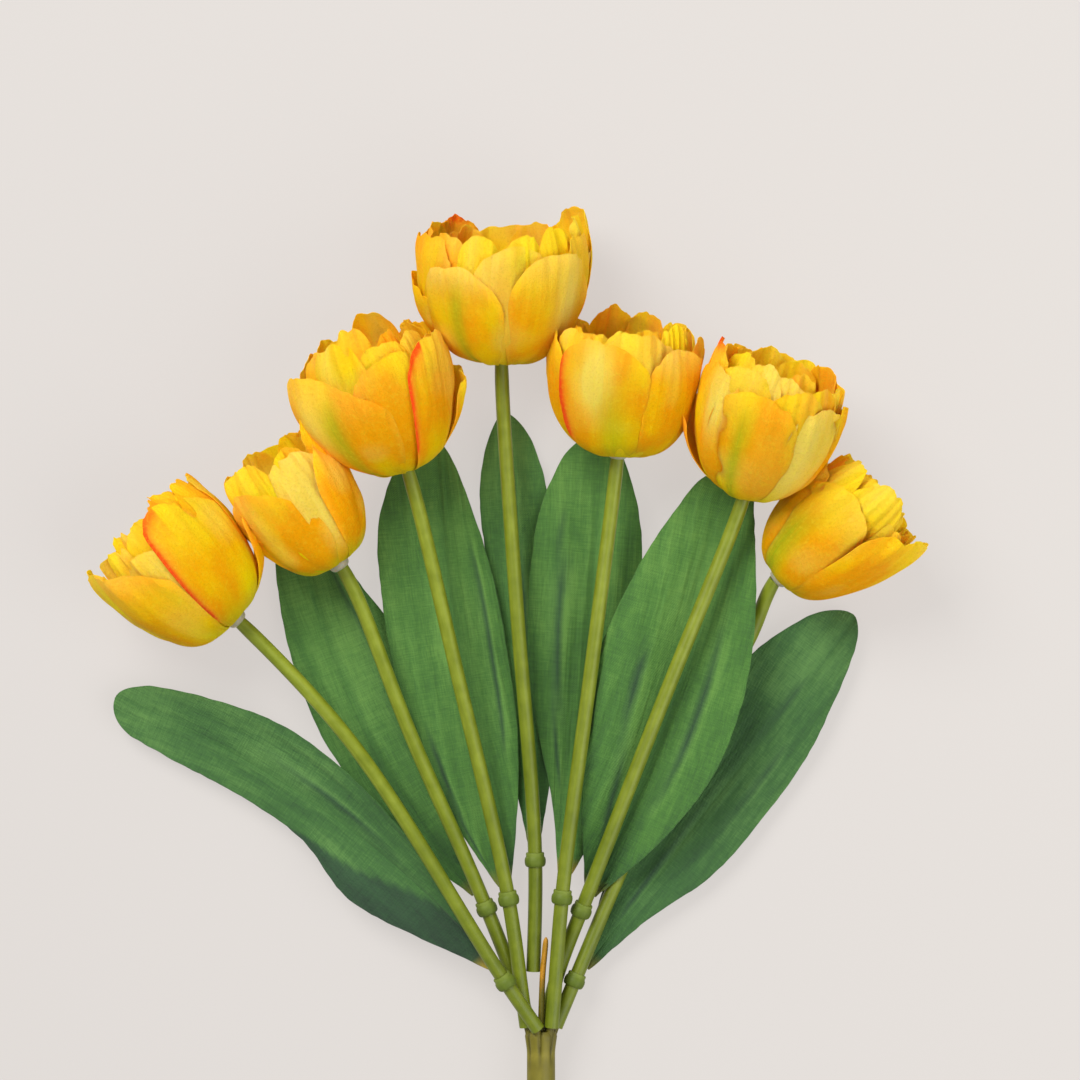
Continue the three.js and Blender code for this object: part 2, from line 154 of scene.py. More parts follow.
def closed_sheet(grid, thickness):
    """Points and faces of a thin solid on both sides of a grid, rows along it and columns across it."""
    du, dv = np.gradient(grid, axis=0), np.gradient(grid, axis=1)
    normal = np.cross(dv, du)
    normal /= np.linalg.norm(normal, axis=2, keepdims=True) + 1e-12
    rows, cols = grid.shape[:2]
    half = np.full((rows, cols, 1), thickness / 2)
    half[-1] *= RIM_SHARE
    half[:, 0] *= RIM_SHARE
    half[:, -1] *= RIM_SHARE
    top, under = grid + normal * half, grid - normal * half
    n = rows * cols
    i = np.arange(n).reshape(rows, cols)
    a, b, c, d = i[:-1, :-1].ravel(), i[:-1, 1:].ravel(), i[1:, 1:].ravel(), i[1:, :-1].ravel()
    faces = [np.stack([a, b, c, d], 1), np.stack([a, d, c, b], 1) + n]
    for line, outward in ((i[:, 0], 1), (i[:, -1], -1), (i[0], -1), (i[-1], 1)):
        p, q = line[:-1], line[1:]
        faces.append(np.stack([p + n, p, q, q + n] if outward > 0 else [p, p + n, q + n, q], 1))
    return np.concatenate([top.reshape(-1, 3), under.reshape(-1, 3)]), np.concatenate(faces)


def frames_along(line):
    """Two side directions at each point of a line, without twist."""
    tangent = np.gradient(line, axis=0)
    tangent /= np.linalg.norm(tangent, axis=1, keepdims=True)
    side = unit(np.cross(tangent[0], [0, 0, 1]))
    sides = []
    for t in tangent:
        side = unit(side - t * (side @ t))
        sides.append(side)
    sides = np.array(sides)
    return sides, np.cross(sides, tangent)


def swept(line, radii, sides, shape=None, bore=None):
    """A closed rod of round section along a line. bore = (radius, steps) hollows its first end.

    shape(angle, step) gives the section's share of the radius.
    """
    x, z = frames_along(line)
    angle = np.arange(sides) / sides * 2 * math.pi
    rings = []
    for k in range(len(line)):
        share = 1 if shape is None else shape(angle, k / (len(line) - 1))
        r = (radii[k] * share * np.ones(sides))[:, None]
        rings.append(line[k] + r * (np.cos(angle)[:, None] * x[k] + np.sin(angle)[:, None] * z[k]))
    start = []
    if bore:
        radius, steps = bore
        for k in range(steps, -1, -1):
            start.append(line[k] + radius * (np.cos(angle)[:, None] * x[k] + np.sin(angle)[:, None] * z[k]))
    rings = start + rings
    count = len(rings)
    co = np.concatenate([*rings, rings[0].mean(0)[None], rings[-1].mean(0)[None]])
    i = np.arange(count * sides).reshape(count, sides)
    j = np.roll(i, -1, axis=1)
    faces = [list(q) for q in np.stack([i[:-1], i[1:], j[1:], j[:-1]], 2).reshape(-1, 4)]
    first, last = count * sides, count * sides + 1
    faces += [[first, p, q] for p, q in zip(i[0], j[0])]
    faces += [[last, q, p] for p, q in zip(i[-1], j[-1])]
    along = np.r_[np.zeros(len(start)), np.linspace(0, 1, len(line))]
    return co, faces, {"pu": np.r_[np.repeat(along, sides), 0, 1], "pv": np.r_[np.tile(angle, count), 0, 0]}


def turned(profile, sides, centre, axis):
    """A ring turned about an axis: profile lists (radius, height) and closes on itself."""
    x = unit(np.cross(axis, [0, 0, 1]))
    y = np.cross(axis, x)
    angle = np.arange(sides) / sides * 2 * math.pi
    rings = []
    for r, h in profile:
        spread = np.cos(angle)[:, None] * x + np.sin(angle)[:, None] * y
        rings.append(centre + r * spread + h * axis)
    n = len(rings)
    i = np.arange(n * sides).reshape(n, sides)
    nxt = np.roll(i, -1, axis=0)
    faces = np.stack([i, np.roll(i, -1, 1), np.roll(nxt, -1, 1), nxt], 2).reshape(-1, 4)
    height = np.repeat([h for _, h in profile], sides)
    span = height.max() - height.min()
    return np.concatenate(rings), faces, {"pu": (height - height.min()) / span, "pv": np.tile(angle, n)}


def piece(name, parts, material, replaced=()):
    """One object from several (points, faces, attributes) parts. It rides on the part's one body."""
    co, faces, start, attributes = [], [], 0, {}
    for points, part_faces, values in parts:
        co.append(points)
        faces += [[int(v) + start for v in f] for f in part_faces]
        for key, value in values.items():
            attributes.setdefault(key, []).append(np.asarray(value, float).ravel())
        start += len(points)
    mesh = bpy.data.meshes.new(name)
    mesh.from_pydata((np.concatenate(co) * MM).tolist(), [], faces)
    for key, value in attributes.items():
        layer = mesh.attributes.new(key, "FLOAT", "POINT")
        layer.data.foreach_set("value", np.concatenate(value).astype(np.float32))
    mesh.shade_smooth()
    mesh.set_sharp_from_angle(angle=math.radians(SHARP_FROM))
    mesh.materials.append(material)
    made = bpy.data.objects.new(name, mesh)
    bpy.context.scene.collection.objects.link(made)
    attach(made, "root")
    if replaced:
        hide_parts(*replaced)
    return made


# ---- Materials ----
class Shader:
    """A node material. Each method adds one node and gives its output socket."""

    def __init__(self, name, **constants):
        self.material = bpy.data.materials.new(name)
        self.material.use_nodes = True
        self.tree = self.material.node_tree
        self.bsdf = self.tree.nodes["Principled BSDF"]
        for key, value in constants.items():
            self.bsdf.inputs[key.replace("_", " ")].default_value = value

    def node(self, kind, inputs, output=0, **settings):
        made = self.tree.nodes.new("ShaderNode" + kind)
        for key, value in settings.items():
            setattr(made, key, value)
        for key, value in inputs.items():
            if isinstance(value, bpy.types.NodeSocket):
                self.tree.links.new(value, made.inputs[key])
            else:
                made.inputs[key].default_value = value
        return made.outputs[output]

    def attribute(self, name):
        return self.node("Attribute", {}, "Fac", attribute_name=name)

    def sum(self, a, b):
        return self.node("Math", {0: a, 1: b}, operation="ADD")

    def times(self, a, b):
        return self.node("Math", {0: a, 1: b}, operation="MULTIPLY")

    def clamp(self, a):
        return self.node("Math", {0: a, 1: 0.0}, operation="ADD", use_clamp=True)

    def wave(self, a, period):
        return self.node("Math", {0: self.times(a, 2 * math.pi / period)}, operation="SINE")

    def vector(self, x, y, z=0.0):
        return self.node("CombineXYZ", {0: x, 1: y, 2: z})

    def position(self):
        return self.node("TexCoord", {}, "Object")

    def noise(self, vector, scale, detail=3.0, roughness=0.55):
        inputs = {"Vector": vector, "Scale": scale, "Detail": detail, "Roughness": roughness}
        return self.node("TexNoise", inputs)

    def cloth_noise(self, across, along, detail, roughness=0.55):
        """Noise over a petal's or a leaf's own surface, with about so many grains to the millimetre each way."""
        place = [self.times(self.attribute("fx"), across), self.times(self.attribute("fy"), along)]
        return self.noise(self.vector(*place, self.attribute("seed")), 1.0, detail, roughness)

    def around(self, noise, strength):
        """A noise that swings about zero."""
        return self.times(self.sum(noise, -0.5), strength)

    def mix(self, factor, a, b):
        return self.node("Mix", {0: factor, 6: a, 7: b}, 2, data_type="RGBA", clamp_factor=True)

    def ramp(self, factor, *stops):
        output = self.node("ValToRGB", {0: factor})
        ramp = output.node.color_ramp
        for i, (place, color) in enumerate(stops):
            element = ramp.elements[i] if i < 2 else ramp.elements.new(place)
            element.position, element.color = place, color
        return output

    def bump(self, height, strength, distance, normal=None):
        inputs = {"Height": height, "Strength": strength, "Distance": distance * MM}
        if normal is not None:
            inputs["Normal"] = normal
        return self.node("Bump", inputs)

    def finish(self, color, roughness, normal):
        for key, value in (("Base Color", color), ("Roughness", roughness), ("Normal", normal)):
            self.tree.links.new(value, self.bsdf.inputs[key])
        return self.material


def petal_material(name, yellow, gold, orange):
    """Dyed silk: pleats that run to the tip, a fine weave, and dye that pools in green, cream and red."""
    s = Shader(name, Subsurface_Weight=0.5, Subsurface_Scale=0.004, Specular_IOR_Level=0.04)
    s.bsdf.inputs["Subsurface Radius"].default_value = (1.0, 0.45, 0.1)
    along, across, seed = s.attribute("fy"), s.attribute("fx"), s.attribute("seed")
    fibres = s.noise(s.vector(s.times(s.attribute("pv"), 14.0), s.times(along, 0.035), seed), 1.0, 4.0, 0.6)
    cloud = s.cloth_noise(0.09, 0.06, 2.0)
    grain = s.cloth_noise(1.6, 1.6, 3.0, 0.7)
    tone = s.sum(s.sum(s.attribute("warm"), s.around(cloud, 1.1)), s.around(fibres, 0.32))
    color = s.ramp(tone, (0.0, yellow), (0.5, gold), (1.0, orange))
    pale = s.clamp(s.times(s.attribute("pale"), s.sum(0.55, s.times(fibres, 0.9))))
    color = s.mix(pale, color, srgb(255, 200, 82))
    green = s.clamp(s.times(s.attribute("green"), s.sum(0.6, s.times(fibres, 0.8))))
    color = s.mix(green, color, srgb(160, 160, 18))
    red = s.clamp(s.times(s.attribute("red"), s.sum(0.45, s.times(cloud, 1.1))))
    color = s.mix(red, color, srgb(238, 62, 20))
    crackle = s.cloth_noise(0.75, 0.75, 4.0, 0.75)
    color = s.mix(s.clamp(s.around(grain, 1.5)), color, srgb(205, 130, 10))
    color = s.mix(s.clamp(s.around(crackle, 0.95)), color, srgb(255, 224, 60))
    weave = s.times(s.wave(across, 0.55), s.wave(along, 0.55))
    creases = s.bump(s.sum(s.times(fibres, 0.5), crackle), 0.6, 0.9)
    normal = s.bump(s.sum(s.times(weave, 0.45), grain), 0.6, 0.32, creases)
    return s.finish(color, s.sum(0.62, s.times(grain, 0.25)), normal)


def leaf_material():
    """Printed cloth: a warp and a weft that both show, a yellowed foot, a faint midrib, and dark painted shade
    along its creases and folds.
    """
    s = Shader("leaf_cloth", Sheen_Weight=0.12, Sheen_Roughness=0.5, Specular_IOR_Level=0.35)
    along, across = s.attribute("fy"), s.attribute("fx")
    warp = s.cloth_noise(2.6, 0.22, 3.0, 0.65)
    weft = s.cloth_noise(0.22, 2.6, 3.0, 0.65)
    threads = s.sum(s.around(warp, 0.5), s.around(weft, 0.5))
    cloud = s.cloth_noise(0.07, 0.035, 3.0)
    # folds: long streaks raised by the bump; in the tone they are also painted shade and highlight along the
    # folds. cloud: broad patches in the cloth's own tone.
    folds = s.cloth_noise(0.34, 0.016, 2.0, 0.5)
    streaks = s.sum(s.around(folds, 0.5), s.around(cloud, 0.9))
    light = s.sum(s.sum(s.attribute("light"), streaks), s.times(threads, 1.2))
    fresh = s.ramp(light, (0.1, srgb(32, 72, 26)), (0.5, srgb(60, 106, 36)), (0.9, srgb(92, 136, 56)))
    deep = s.ramp(light, (0.1, srgb(18, 50, 28)), (0.5, srgb(38, 78, 40)), (0.9, srgb(70, 110, 60)))
    color = s.mix(s.attribute("tone"), fresh, deep)
    rib = s.times(s.attribute("rib"), 0.35)
    color = s.mix(s.clamp(rib), color, srgb(46, 92, 34))
    # Painted shade: the shade attribute darkens the green along the creases and over a flap.
    shadow = s.ramp(light, (0.1, srgb(6, 32, 18)), (0.9, srgb(36, 74, 42)))
    color = s.mix(s.clamp(s.attribute("shade")), color, shadow)
    color = s.mix(s.clamp(s.attribute("foot")), color, srgb(150, 132, 40))
    weave = s.times(s.wave(across, 0.62), s.wave(along, 0.62))
    relief = s.bump(s.sum(s.times(s.attribute("rib"), -0.4), s.times(folds, 1.2)), 0.6, 1.6)
    normal = s.bump(s.sum(s.times(weave, 0.45), threads), 0.6, 0.3, relief)
    return s.finish(color, s.sum(0.5, s.times(warp, 0.3)), normal)


def plastic_material(name, dark, mid, light, roughness, stretch=0.05, bump=0.25, **constants):
    """Moulded plastic: flow marks along the part, a little mottling and a satin skin."""
    s = Shader(name, **{"Specular_IOR_Level": 0.5, **constants})
    place = s.position()
    around, along = s.attribute("pv"), s.attribute("mm")
    flow = s.noise(s.vector(s.times(around, 1.3), s.times(along, stretch), 3.0), 1.0, 3.0)
    mottle = s.noise(place, 190.0, 3.0)
    pits = s.noise(place, 1500.0, 2.0)
    tone = s.sum(s.attribute("light"), s.sum(s.around(flow, 0.7), s.around(mottle, 0.6)))
    color = s.ramp(tone, (0.0, dark), (0.5, mid), (1.0, light))
    normal = s.bump(s.sum(flow, s.times(pits, 0.25)), bump, 0.25)
    return s.finish(color, s.sum(roughness, s.around(mottle, 0.2)), normal)


PETAL = petal_material("petal_silk", srgb(255, 204, 0), srgb(255, 180, 0), srgb(255, 148, 0))
# INNER: the same silk a little deeper orange for the inner whorl, as painted shade of the flower's hollow.
INNER = petal_material("inner_petal_silk", srgb(255, 204, 0), srgb(255, 178, 0), srgb(255, 142, 0))
LEAF = leaf_material()
STEM = plastic_material("stem_plastic", srgb(72, 86, 12), srgb(104, 116, 22), srgb(134, 146, 44), 0.4,
                        Specular_IOR_Level=0.3)
CLIP = plastic_material("ring_plastic", srgb(66, 82, 18), srgb(90, 106, 32), srgb(112, 126, 50), 0.55,
                        Specular_IOR_Level=0.2)
TRUNK = plastic_material("trunk_plastic", srgb(78, 72, 14), srgb(106, 99, 26), srgb(132, 123, 42), 0.5,
                         Specular_IOR_Level=0.3)
NIB = plastic_material("worn_stub_plastic", srgb(92, 88, 20), srgb(176, 124, 26), srgb(205, 150, 40), 0.5,
                       Specular_IOR_Level=0.3)
COLLAR = plastic_material("collar_plastic", srgb(116, 114, 84), srgb(152, 149, 124), srgb(186, 183, 162), 0.4,
                          Subsurface_Weight=0.4, Subsurface_Scale=0.003)
CORE = plastic_material("core_plastic", srgb(140, 116, 20), srgb(176, 148, 36), srgb(206, 178, 60), 0.55)

# ---- Stems ----
END_INSET = 2.2  # from a CAD tube's ends to the first and last slice that is read
FOOT_REACH = 1.9  # how far the line goes on past those slices
TOP_REACH = 1.2


def stem_line(n):
    """The middle line of a stem, from its foot to its flower's collar."""
    collar_low, collar_high = (np.array(c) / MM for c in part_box(f"flower_{n}_collar"))
    top = (collar_low + collar_high) / 2
    tube = points_of(f"stem_{n}")
    foot = tube[np.argsort(tube[:, 1])[:8]].mean(0)
    axis = unit(top - foot)
    depth = tube @ axis
    offsets = np.linspace(depth.min() + END_INSET, top @ axis - END_INSET, 60)
    line = centreline(f"stem_{n}", axis, offsets)
    first = line[0] + unit(line[0] - line[2]) * FOOT_REACH
    last = line[-1] + unit(line[-1] - line[-3]) * TOP_REACH
    return resample(relax(np.concatenate([[first], line, [last]]), 12), 110)


STEM_LINES = {n: stem_line(n) for n in FLOWERS}


def marked(part, length, light):
    """Adds to a rod or a ring its length in millimetres at each point, and its tone."""
    values = part[2]
    values["mm"] = values["pu"] * length
    values["light"] = light * np.ones(len(part[0]))
    return part


def make_tube(n):
    line = STEM_LINES[n]
    radii = np.full(len(line), TUBE_R)
    radii[-4:] = TUBE_R * np.array([0.99, 0.97, 0.94, 0.9])
    tube = swept(line, radii, 24, bore=(TUBE_BORE, 5))
    light = (0.45 if n == BARE else 0.5) + 0.25 * smooth(tube[2]["pu"], 0.1, 0.9) - 0.12
    marked(tube, np.linalg.norm(np.diff(line, axis=0), axis=1).sum(), light)
    piece(f"tube_{n}", [tube], STEM, [f"stem_{n}"])


for n in FLOWERS:
    make_tube(n)

# ---- Leaf clips: the ring round the tube, and the rib under the blade ----
RING_PROFILE = [
    (2.42, -2.3), (2.95, -2.35), (3.35, -1.9), (3.52, -1.1), (3.55, -0.2), (3.4, 0.55), (3.1, 0.95),
    (3.02, 1.35), (3.1, 1.85), (2.95, 2.3), (2.42, 2.35),
]
RING_HEIGHT = 4.6


def ring_place(n):
    """Where a clip's ring sits on its stem, and the stem's direction there."""
    line = STEM_LINES[n]
    clip = points_of(f"leaf_{n}_rib")
    gaps = np.linalg.norm(clip[:, None] - line[None], axis=2)
    near = gaps.min(1)
    held = gaps.argmin(1)[(near > 2.6) & (near < 3.8)]  # the points on the ring's own wall
    at = int(round(np.median(held)))
    return line[at], unit(line[at + 1] - line[at - 1])


RING_AT = {n: ring_place(n) for n in FLOWERS}

# ---- Leaves ----
# One row for each leaf. left, right: half widths about its CAD midline, in millimetres, at even shares of its
# length, which come from a scratch program; foot, tip: how far it goes past the CAD blade; fold: how much its
# sides stand up from the midrib; tone: 0 fresh green to 1 deep green; creases: (place across at the foot, how
# that moves along the leaf, first and last share of the length, height); flap: (place across at the foot, how
# that moves along the leaf, last share of the length) of a side that is turned into shadow.
LEAVES = {
    1: dict(left=[1.5, 12.5, 18.5, 12, 11, 11, 8], foot=3, tip=3.4,
            right=[1.5, 6, 10.5, 15, 16.5, 12.5, 7], fold=1.2, tone=0.5, flap=(0.5, -2.7, 0.6),
            creases=[(0.2, 0.3, 0.3, 0.7, 0.3)]),
    2: dict(left=[1, 6.5, 11.5, 14.5, 14, 11.5, 8], foot=3, tip=8,
            right=[2, 10.5, 18, 22.5, 21.5, 14, 8], fold=0.5, tone=0.15,
            creases=[(0.95, -0.7, 0.1, 0.55, 0.4), (0.6, 0.0, 0.45, 0.95, 0.3)]),
    3: dict(left=[2.5, 12, 18.5, 22.5, 23, 21, 10], foot=4.5, tip=5.3,
            right=[2, 10, 15, 16, 15, 10.5, 3], fold=0.5, tone=0.05,
            creases=[(-0.8, 0.3, 0.05, 0.4, 0.4), (0.75, -0.1, 0.3, 0.8, 0.2)]),
    4: dict(left=[2, 4, 3, 4, 7.5, 8.5, 3], foot=4.8, tip=0.8,
            right=[2, 8.5, 10.5, 12.5, 14, 13.5, 6], fold=0.4, tone=0.25,
            creases=[(0.5, -0.3, 0.3, 0.9, 0.3)]),
    5: dict(left=[2, 7, 15, 20, 21.5, 19, 9], foot=3, tip=6.5,
            right=[2, 12.5, 16.5, 18, 16.5, 13, 4], fold=0.6, tone=0.05,
            creases=[(-0.65, 0.35, 0.2, 0.75, 0.5), (-0.3, -0.3, 0.35, 0.85, 0.5),
                     (0.5, 0.1, 0.1, 0.5, 0.4)]),
    6: dict(left=[2, 15.5, 24, 29, 27, 20.5, 8], foot=3, tip=8.7,
            right=[2, 13, 20.5, 21.5, 17.5, 10.5, 4], fold=0.8, tone=0.0,
            creases=[(-0.3, -0.35, 0.1, 0.6, 0.4), (0.35, 0.2, 0.2, 0.7, 0.3)]),
    7: dict(left=[1.5, 11.5, 18.5, 22.5, 22.5, 18, 8], foot=3, tip=4.4,
            right=[1.5, 6.5, 14.5, 16.5, 16, 11.5, 5], fold=0.6, tone=0.6,
            creases=[(-0.1, 0.15, 0.15, 0.85, 0.6), (0.45, 0.1, 0.3, 0.7, 0.3)]),
}


def eased(values, at):
    """A smooth curve through evenly spaced values."""
    values = np.asarray(values, float)
    knots = np.linspace(0, 1, len(values))
    slope = np.gradient(values, knots)
    i = np.clip(np.searchsorted(knots, at, side="right") - 1, 0, len(values) - 2)
    h = knots[1]
    t = (at - knots[i]) / h
    return ((1 + 2 * t) * (1 - t) ** 2 * values[i] + t * (1 - t) ** 2 * h * slope[i]
            + t * t * (3 - 2 * t) * values[i + 1] + t * t * (t - 1) * h * slope[i + 1])


def blade_frame(n):
    """The CAD blade's midline with its own height, its half width, and its midline's directions."""
    node = f"leaf_{n}_blade"
    co = points_of(node)
    ring = RING_AT[n][0]
    near = co[np.argsort(np.linalg.norm((co - ring)[:, :2], axis=1))[:6]].mean(0)
    far = co[np.argmax(np.linalg.norm((co - near)[:, :2], axis=1))]
    axis = far - near
    axis[2] = 0
    axis = unit(axis)
    side = np.array([axis[1], -axis[0], 0])
    depth = co @ axis
    offsets = np.linspace(depth.min() + 1.2, depth.max() - 0.8, 46)
    middle, half = [], []
    for offset, cut in zip(offsets, slices(node, axis, offsets)):
        x = cut @ side
        middle.append(axis * offset + side * (x.min() + x.max()) / 2)
        half.append((x.max() - x.min()) / 2)
    return relax(np.array(middle), 4), np.array(half)


def blade_tree(n):
    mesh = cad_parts[f"leaf_{n}_blade"].data
    return BVHTree.FromPolygons([v.co / MM for v in mesh.vertices], [p.vertices for p in mesh.polygons])


def at_length(lengths, middle, at):
    """A point of a leaf's midline, at a distance along it."""
    return np.array([np.interp(at, lengths, middle[:, k]) for k in range(3)])


def leaf_surface(n, shares, v, ragged):
    """A leaf's grid over its CAD blade, with the outline of its row in LEAVES."""
    row = LEAVES[n]
    middle, half = blade_frame(n)
    tree = blade_tree(n)
    lengths = np.r_[0, np.cumsum(np.linalg.norm(np.diff(middle, axis=0), axis=1))]
    total = lengths[-1]
    grid = np.zeros((len(shares), len(v), 3))
    for i, share in enumerate(shares):
        at = -row["foot"] + share * (total + row["foot"] + row["tip"])
        inside = np.clip(at, 0, total)
        ahead = at_length(lengths, middle, min(inside + 2, total))
        direction = unit(ahead - at_length(lengths, middle, max(inside - 2, 0)))
        place = at_length(lengths, middle, inside) + direction * (at - inside)
        side = np.array([direction[1], -direction[0], 0])
        rounding = math.sqrt(max(0.0, 1 - max(0.0, (share - 0.93) / 0.07) ** 2))
        left = max(0.25, (eased(row["left"], share) + eased(ragged[0], share)) * rounding)
        right = max(0.25, (eased(row["right"], share) + eased(ragged[1], share)) * rounding)
        limit = np.interp(inside, lengths, half) * 0.94
        for j, w in enumerate(v):
            across = w * (right if w > 0 else left)
            inner = np.clip(across, -limit, limit)
            spot = place + side * across
            probe = place + side * inner - direction * (at - inside)
            hit = tree.ray_cast(Vector((probe[0], probe[1], 200)), Vector((0, 0, -1)))[0]
            if hit is None:
                hit = tree.find_nearest(Vector((probe[0], probe[1], 5)))[0]
            grid[i, j] = (spot[0], spot[1], hit.z - 0.4 + (abs(across) - abs(inner)) * 0.04)
    return grid, total


def ease_heights(grid, times):
    """Smooths a grid's heights in place, with its outline as it is."""
    z = grid[:, :, 2]
    for _ in range(times):
        z[1:-1] = 0.25 * z[:-2] + 0.5 * z[1:-1] + 0.25 * z[2:]
        z[:, 1:-1] = 0.25 * z[:, :-2] + 0.5 * z[:, 1:-1] + 0.25 * z[:, 2:]


def clear_tubes(grid):
    """Moves a leaf off each tube that it would cross, to the side that it is on."""
    for tube in STEM_LINES.values():
        gaps = np.linalg.norm(grid[:, :, None, :2] - tube[None, None, :, :2], axis=3)
        height = tube[gaps.argmin(2), 2]
        crossing = (gaps.min(2) < TUBE_R + 0.7) & (np.abs(grid[:, :, 2] - height) < TUBE_R + 0.5)
        side = np.where(grid[:, :, 2] > height, 1, -1)
        grid[:, :, 2] = np.where(crossing, height + side * (TUBE_R + 0.5), grid[:, :, 2])


def crease_leaf(row, grid, S, V):
    """Raises a leaf's creases, and gives their painted shade and painted highlight, with a flap's painted
    shadow.
    """
    shade, crease_highlight = np.zeros(S.shape), np.zeros(S.shape)
    for at, slope, first, last, height in row["creases"]:
        gap = V - (at + slope * S)
        span = smooth(S, first - 0.05, first + 0.05) * (1 - smooth(S, last - 0.1, last))
        grid[:, :, 2] += height * np.exp(-(gap / 0.1) ** 2) * span
        # The dark line and the fall beside it are painted shade of the crease, and the lighter ridge past it is
        # a painted highlight.
        line = 0.8 * np.exp(-((gap + 0.03) / 0.03) ** 2)
        fall = 0.3 * np.exp(-np.abs(gap + 0.06) / 0.08) * (gap < 0.02)
        shade += span * (line + fall)
        crease_highlight += span * np.exp(-((gap - 0.06) / 0.05) ** 2)
    # flap: painted shadow over one side of the leaf, in its colour only.
    if "flap" in row:
        at, slope, last = row["flap"]
        shade += smooth(-(V - at - slope * S) / 0.08) * (1 - smooth(S, last - 0.05, last))
    return np.clip(shade, 0, 0.9), crease_highlight


def make_leaf(n):
    row = LEAVES[n]
    steps = int(96 * FULL)
    columns = int(30 * FULL)
    rng = np.random.default_rng(40 + n)
    wave = rng.uniform(0, 2 * math.pi, 2)
    ragged = rng.uniform(-0.14, 0.14, (2, 60))
    shares = 1 - (1 - np.linspace(0, 1, steps + 1)) ** 1.35
    v = np.sin(np.linspace(-1, 1, columns + 1) * math.pi / 2)
    grid, total = leaf_surface(n, shares, v, ragged)
    ease_heights(grid, 14)
    S, V = np.meshgrid(shares, v, indexing="ij")
    body = smooth(S, 0.0, 0.25) * smooth(1 - S, 0.0, 0.12)
    fold = row["fold"] * (np.abs(V) ** 1.1 - 0.35) * body
    ripple = 0.35 * np.sin(9 * S + wave[0] + 1.5 * V) + 0.25 * np.sin(21 * S + wave[1]) * np.abs(V) ** 2
    grid[:, :, 2] = np.maximum(grid[:, :, 2] + fold + ripple * body, 0.25)
    foot_z = RING_AT[n][0][2] - 3.4
    grid[:, :, 2] += (foot_z - grid[0, columns // 2, 2]) * np.clip(1 - S * total / 14, 0, 1) ** 1.5
    clear_tubes(grid)
    shade, crease_highlight = crease_leaf(row, grid, S, V)
    co, faces = closed_sheet(grid, LEAF_THICKNESS)
    widths = np.linalg.norm(grid[:, -1] - grid[:, 0], axis=1)[:, None] / 2
    # light: the green's tone, lighter towards the tip and darker at the foot and at the edges; the painted
    # highlight beside each crease is added to it.
    light = 0.5 + 0.12 * smooth(S, 0.2, 0.9) - 0.15 * smooth(1 - S, 0.75, 1.0)
    values = {
        "pu": S, "pv": V, "fx": V * widths, "fy": S * total,
        "tone": np.full(S.shape, row["tone"]),
        "seed": np.full(S.shape, 7.3 * n),
        "light": light - 0.1 * np.abs(V) ** 6 + 0.22 * crease_highlight,
        "rib": np.exp(-((V * widths) / 0.45) ** 2) * smooth(1 - S, 0.02, 0.3),
        "foot": smooth(1 - S, 0.955, 0.99) * (1.0 if n in (1, 5) else 0.35),
        "shade": shade,
    }
    piece(f"leaf_{n}", [(co, faces, on_both_sides(values))], LEAF, [f"leaf_{n}_blade"])


def make_clip(n):
    centre, tangent = RING_AT[n]
    ring = turned(RING_PROFILE, 32, centre, tangent)
    marked(ring, RING_HEIGHT, 0.35 + 0.4 * smooth(ring[2]["pu"], 0.5, 0.9))
    clip = points_of(f"leaf_{n}_rib")
    direction = clip[np.argmax(np.linalg.norm((clip - centre)[:, :2], axis=1))] - centre
    direction[2] = 0
    axis = unit(direction)
    depth = clip @ axis
    offsets = np.linspace(centre @ axis + 5.5, depth.max() - 0.3, 30)
    rib = centreline(f"leaf_{n}_rib", axis, offsets)
    root = centre + np.array([0, 0, -3.1]) + tangent * 0.8
    line = resample(relax(np.concatenate([[root], rib]), 4), 40)
    radii = 0.62 - 0.3 * np.linspace(0, 1, 40)
    rod = marked(swept(line, radii, 10), 70, 0.4)
    piece(f"clip_{n}", [ring, rod], CLIP, [f"leaf_{n}_rib"])


for n in FLOWERS:
    make_leaf(n)
    make_clip(n)

# ---- Flowers ----
# A petal: (turn, half, layer, reach, look, options). turn runs about the flower's axis from its left side, 0,
# over its upper side, 90, to its right side, 180. half is half of the angle that the petal spans. layer is
# its radius against the flower's. reach is how far its tip comes along the flower, seen from above. Options:
#   lean, span, slant, shoulder, lobes, fray: its outline; pleat, curl, flare, wing, lip: how it bends
#   warm, green, pale, veil, stripe, blob, foot, ember: its dye; tip: a paler tip, a painted highlight;
#   red, redtop, redwide, redtip: its red
LOOKS = {
    "gold": dict(warm=0.66, green=0.7, pale=0.25),
    "deep": dict(warm=0.8, green=0.55, pale=0.1),
    "yellow": dict(warm=0.36, green=0.75, pale=0.3),
    "cream": dict(warm=0.45, green=0.6, pale=0.92),
    "lime": dict(warm=0.4, green=1.0, pale=0.25, veil=(0.3, 0.0)),
    "stripe": dict(warm=0.72, green=0.7, pale=0.3, stripe=0.75),
}
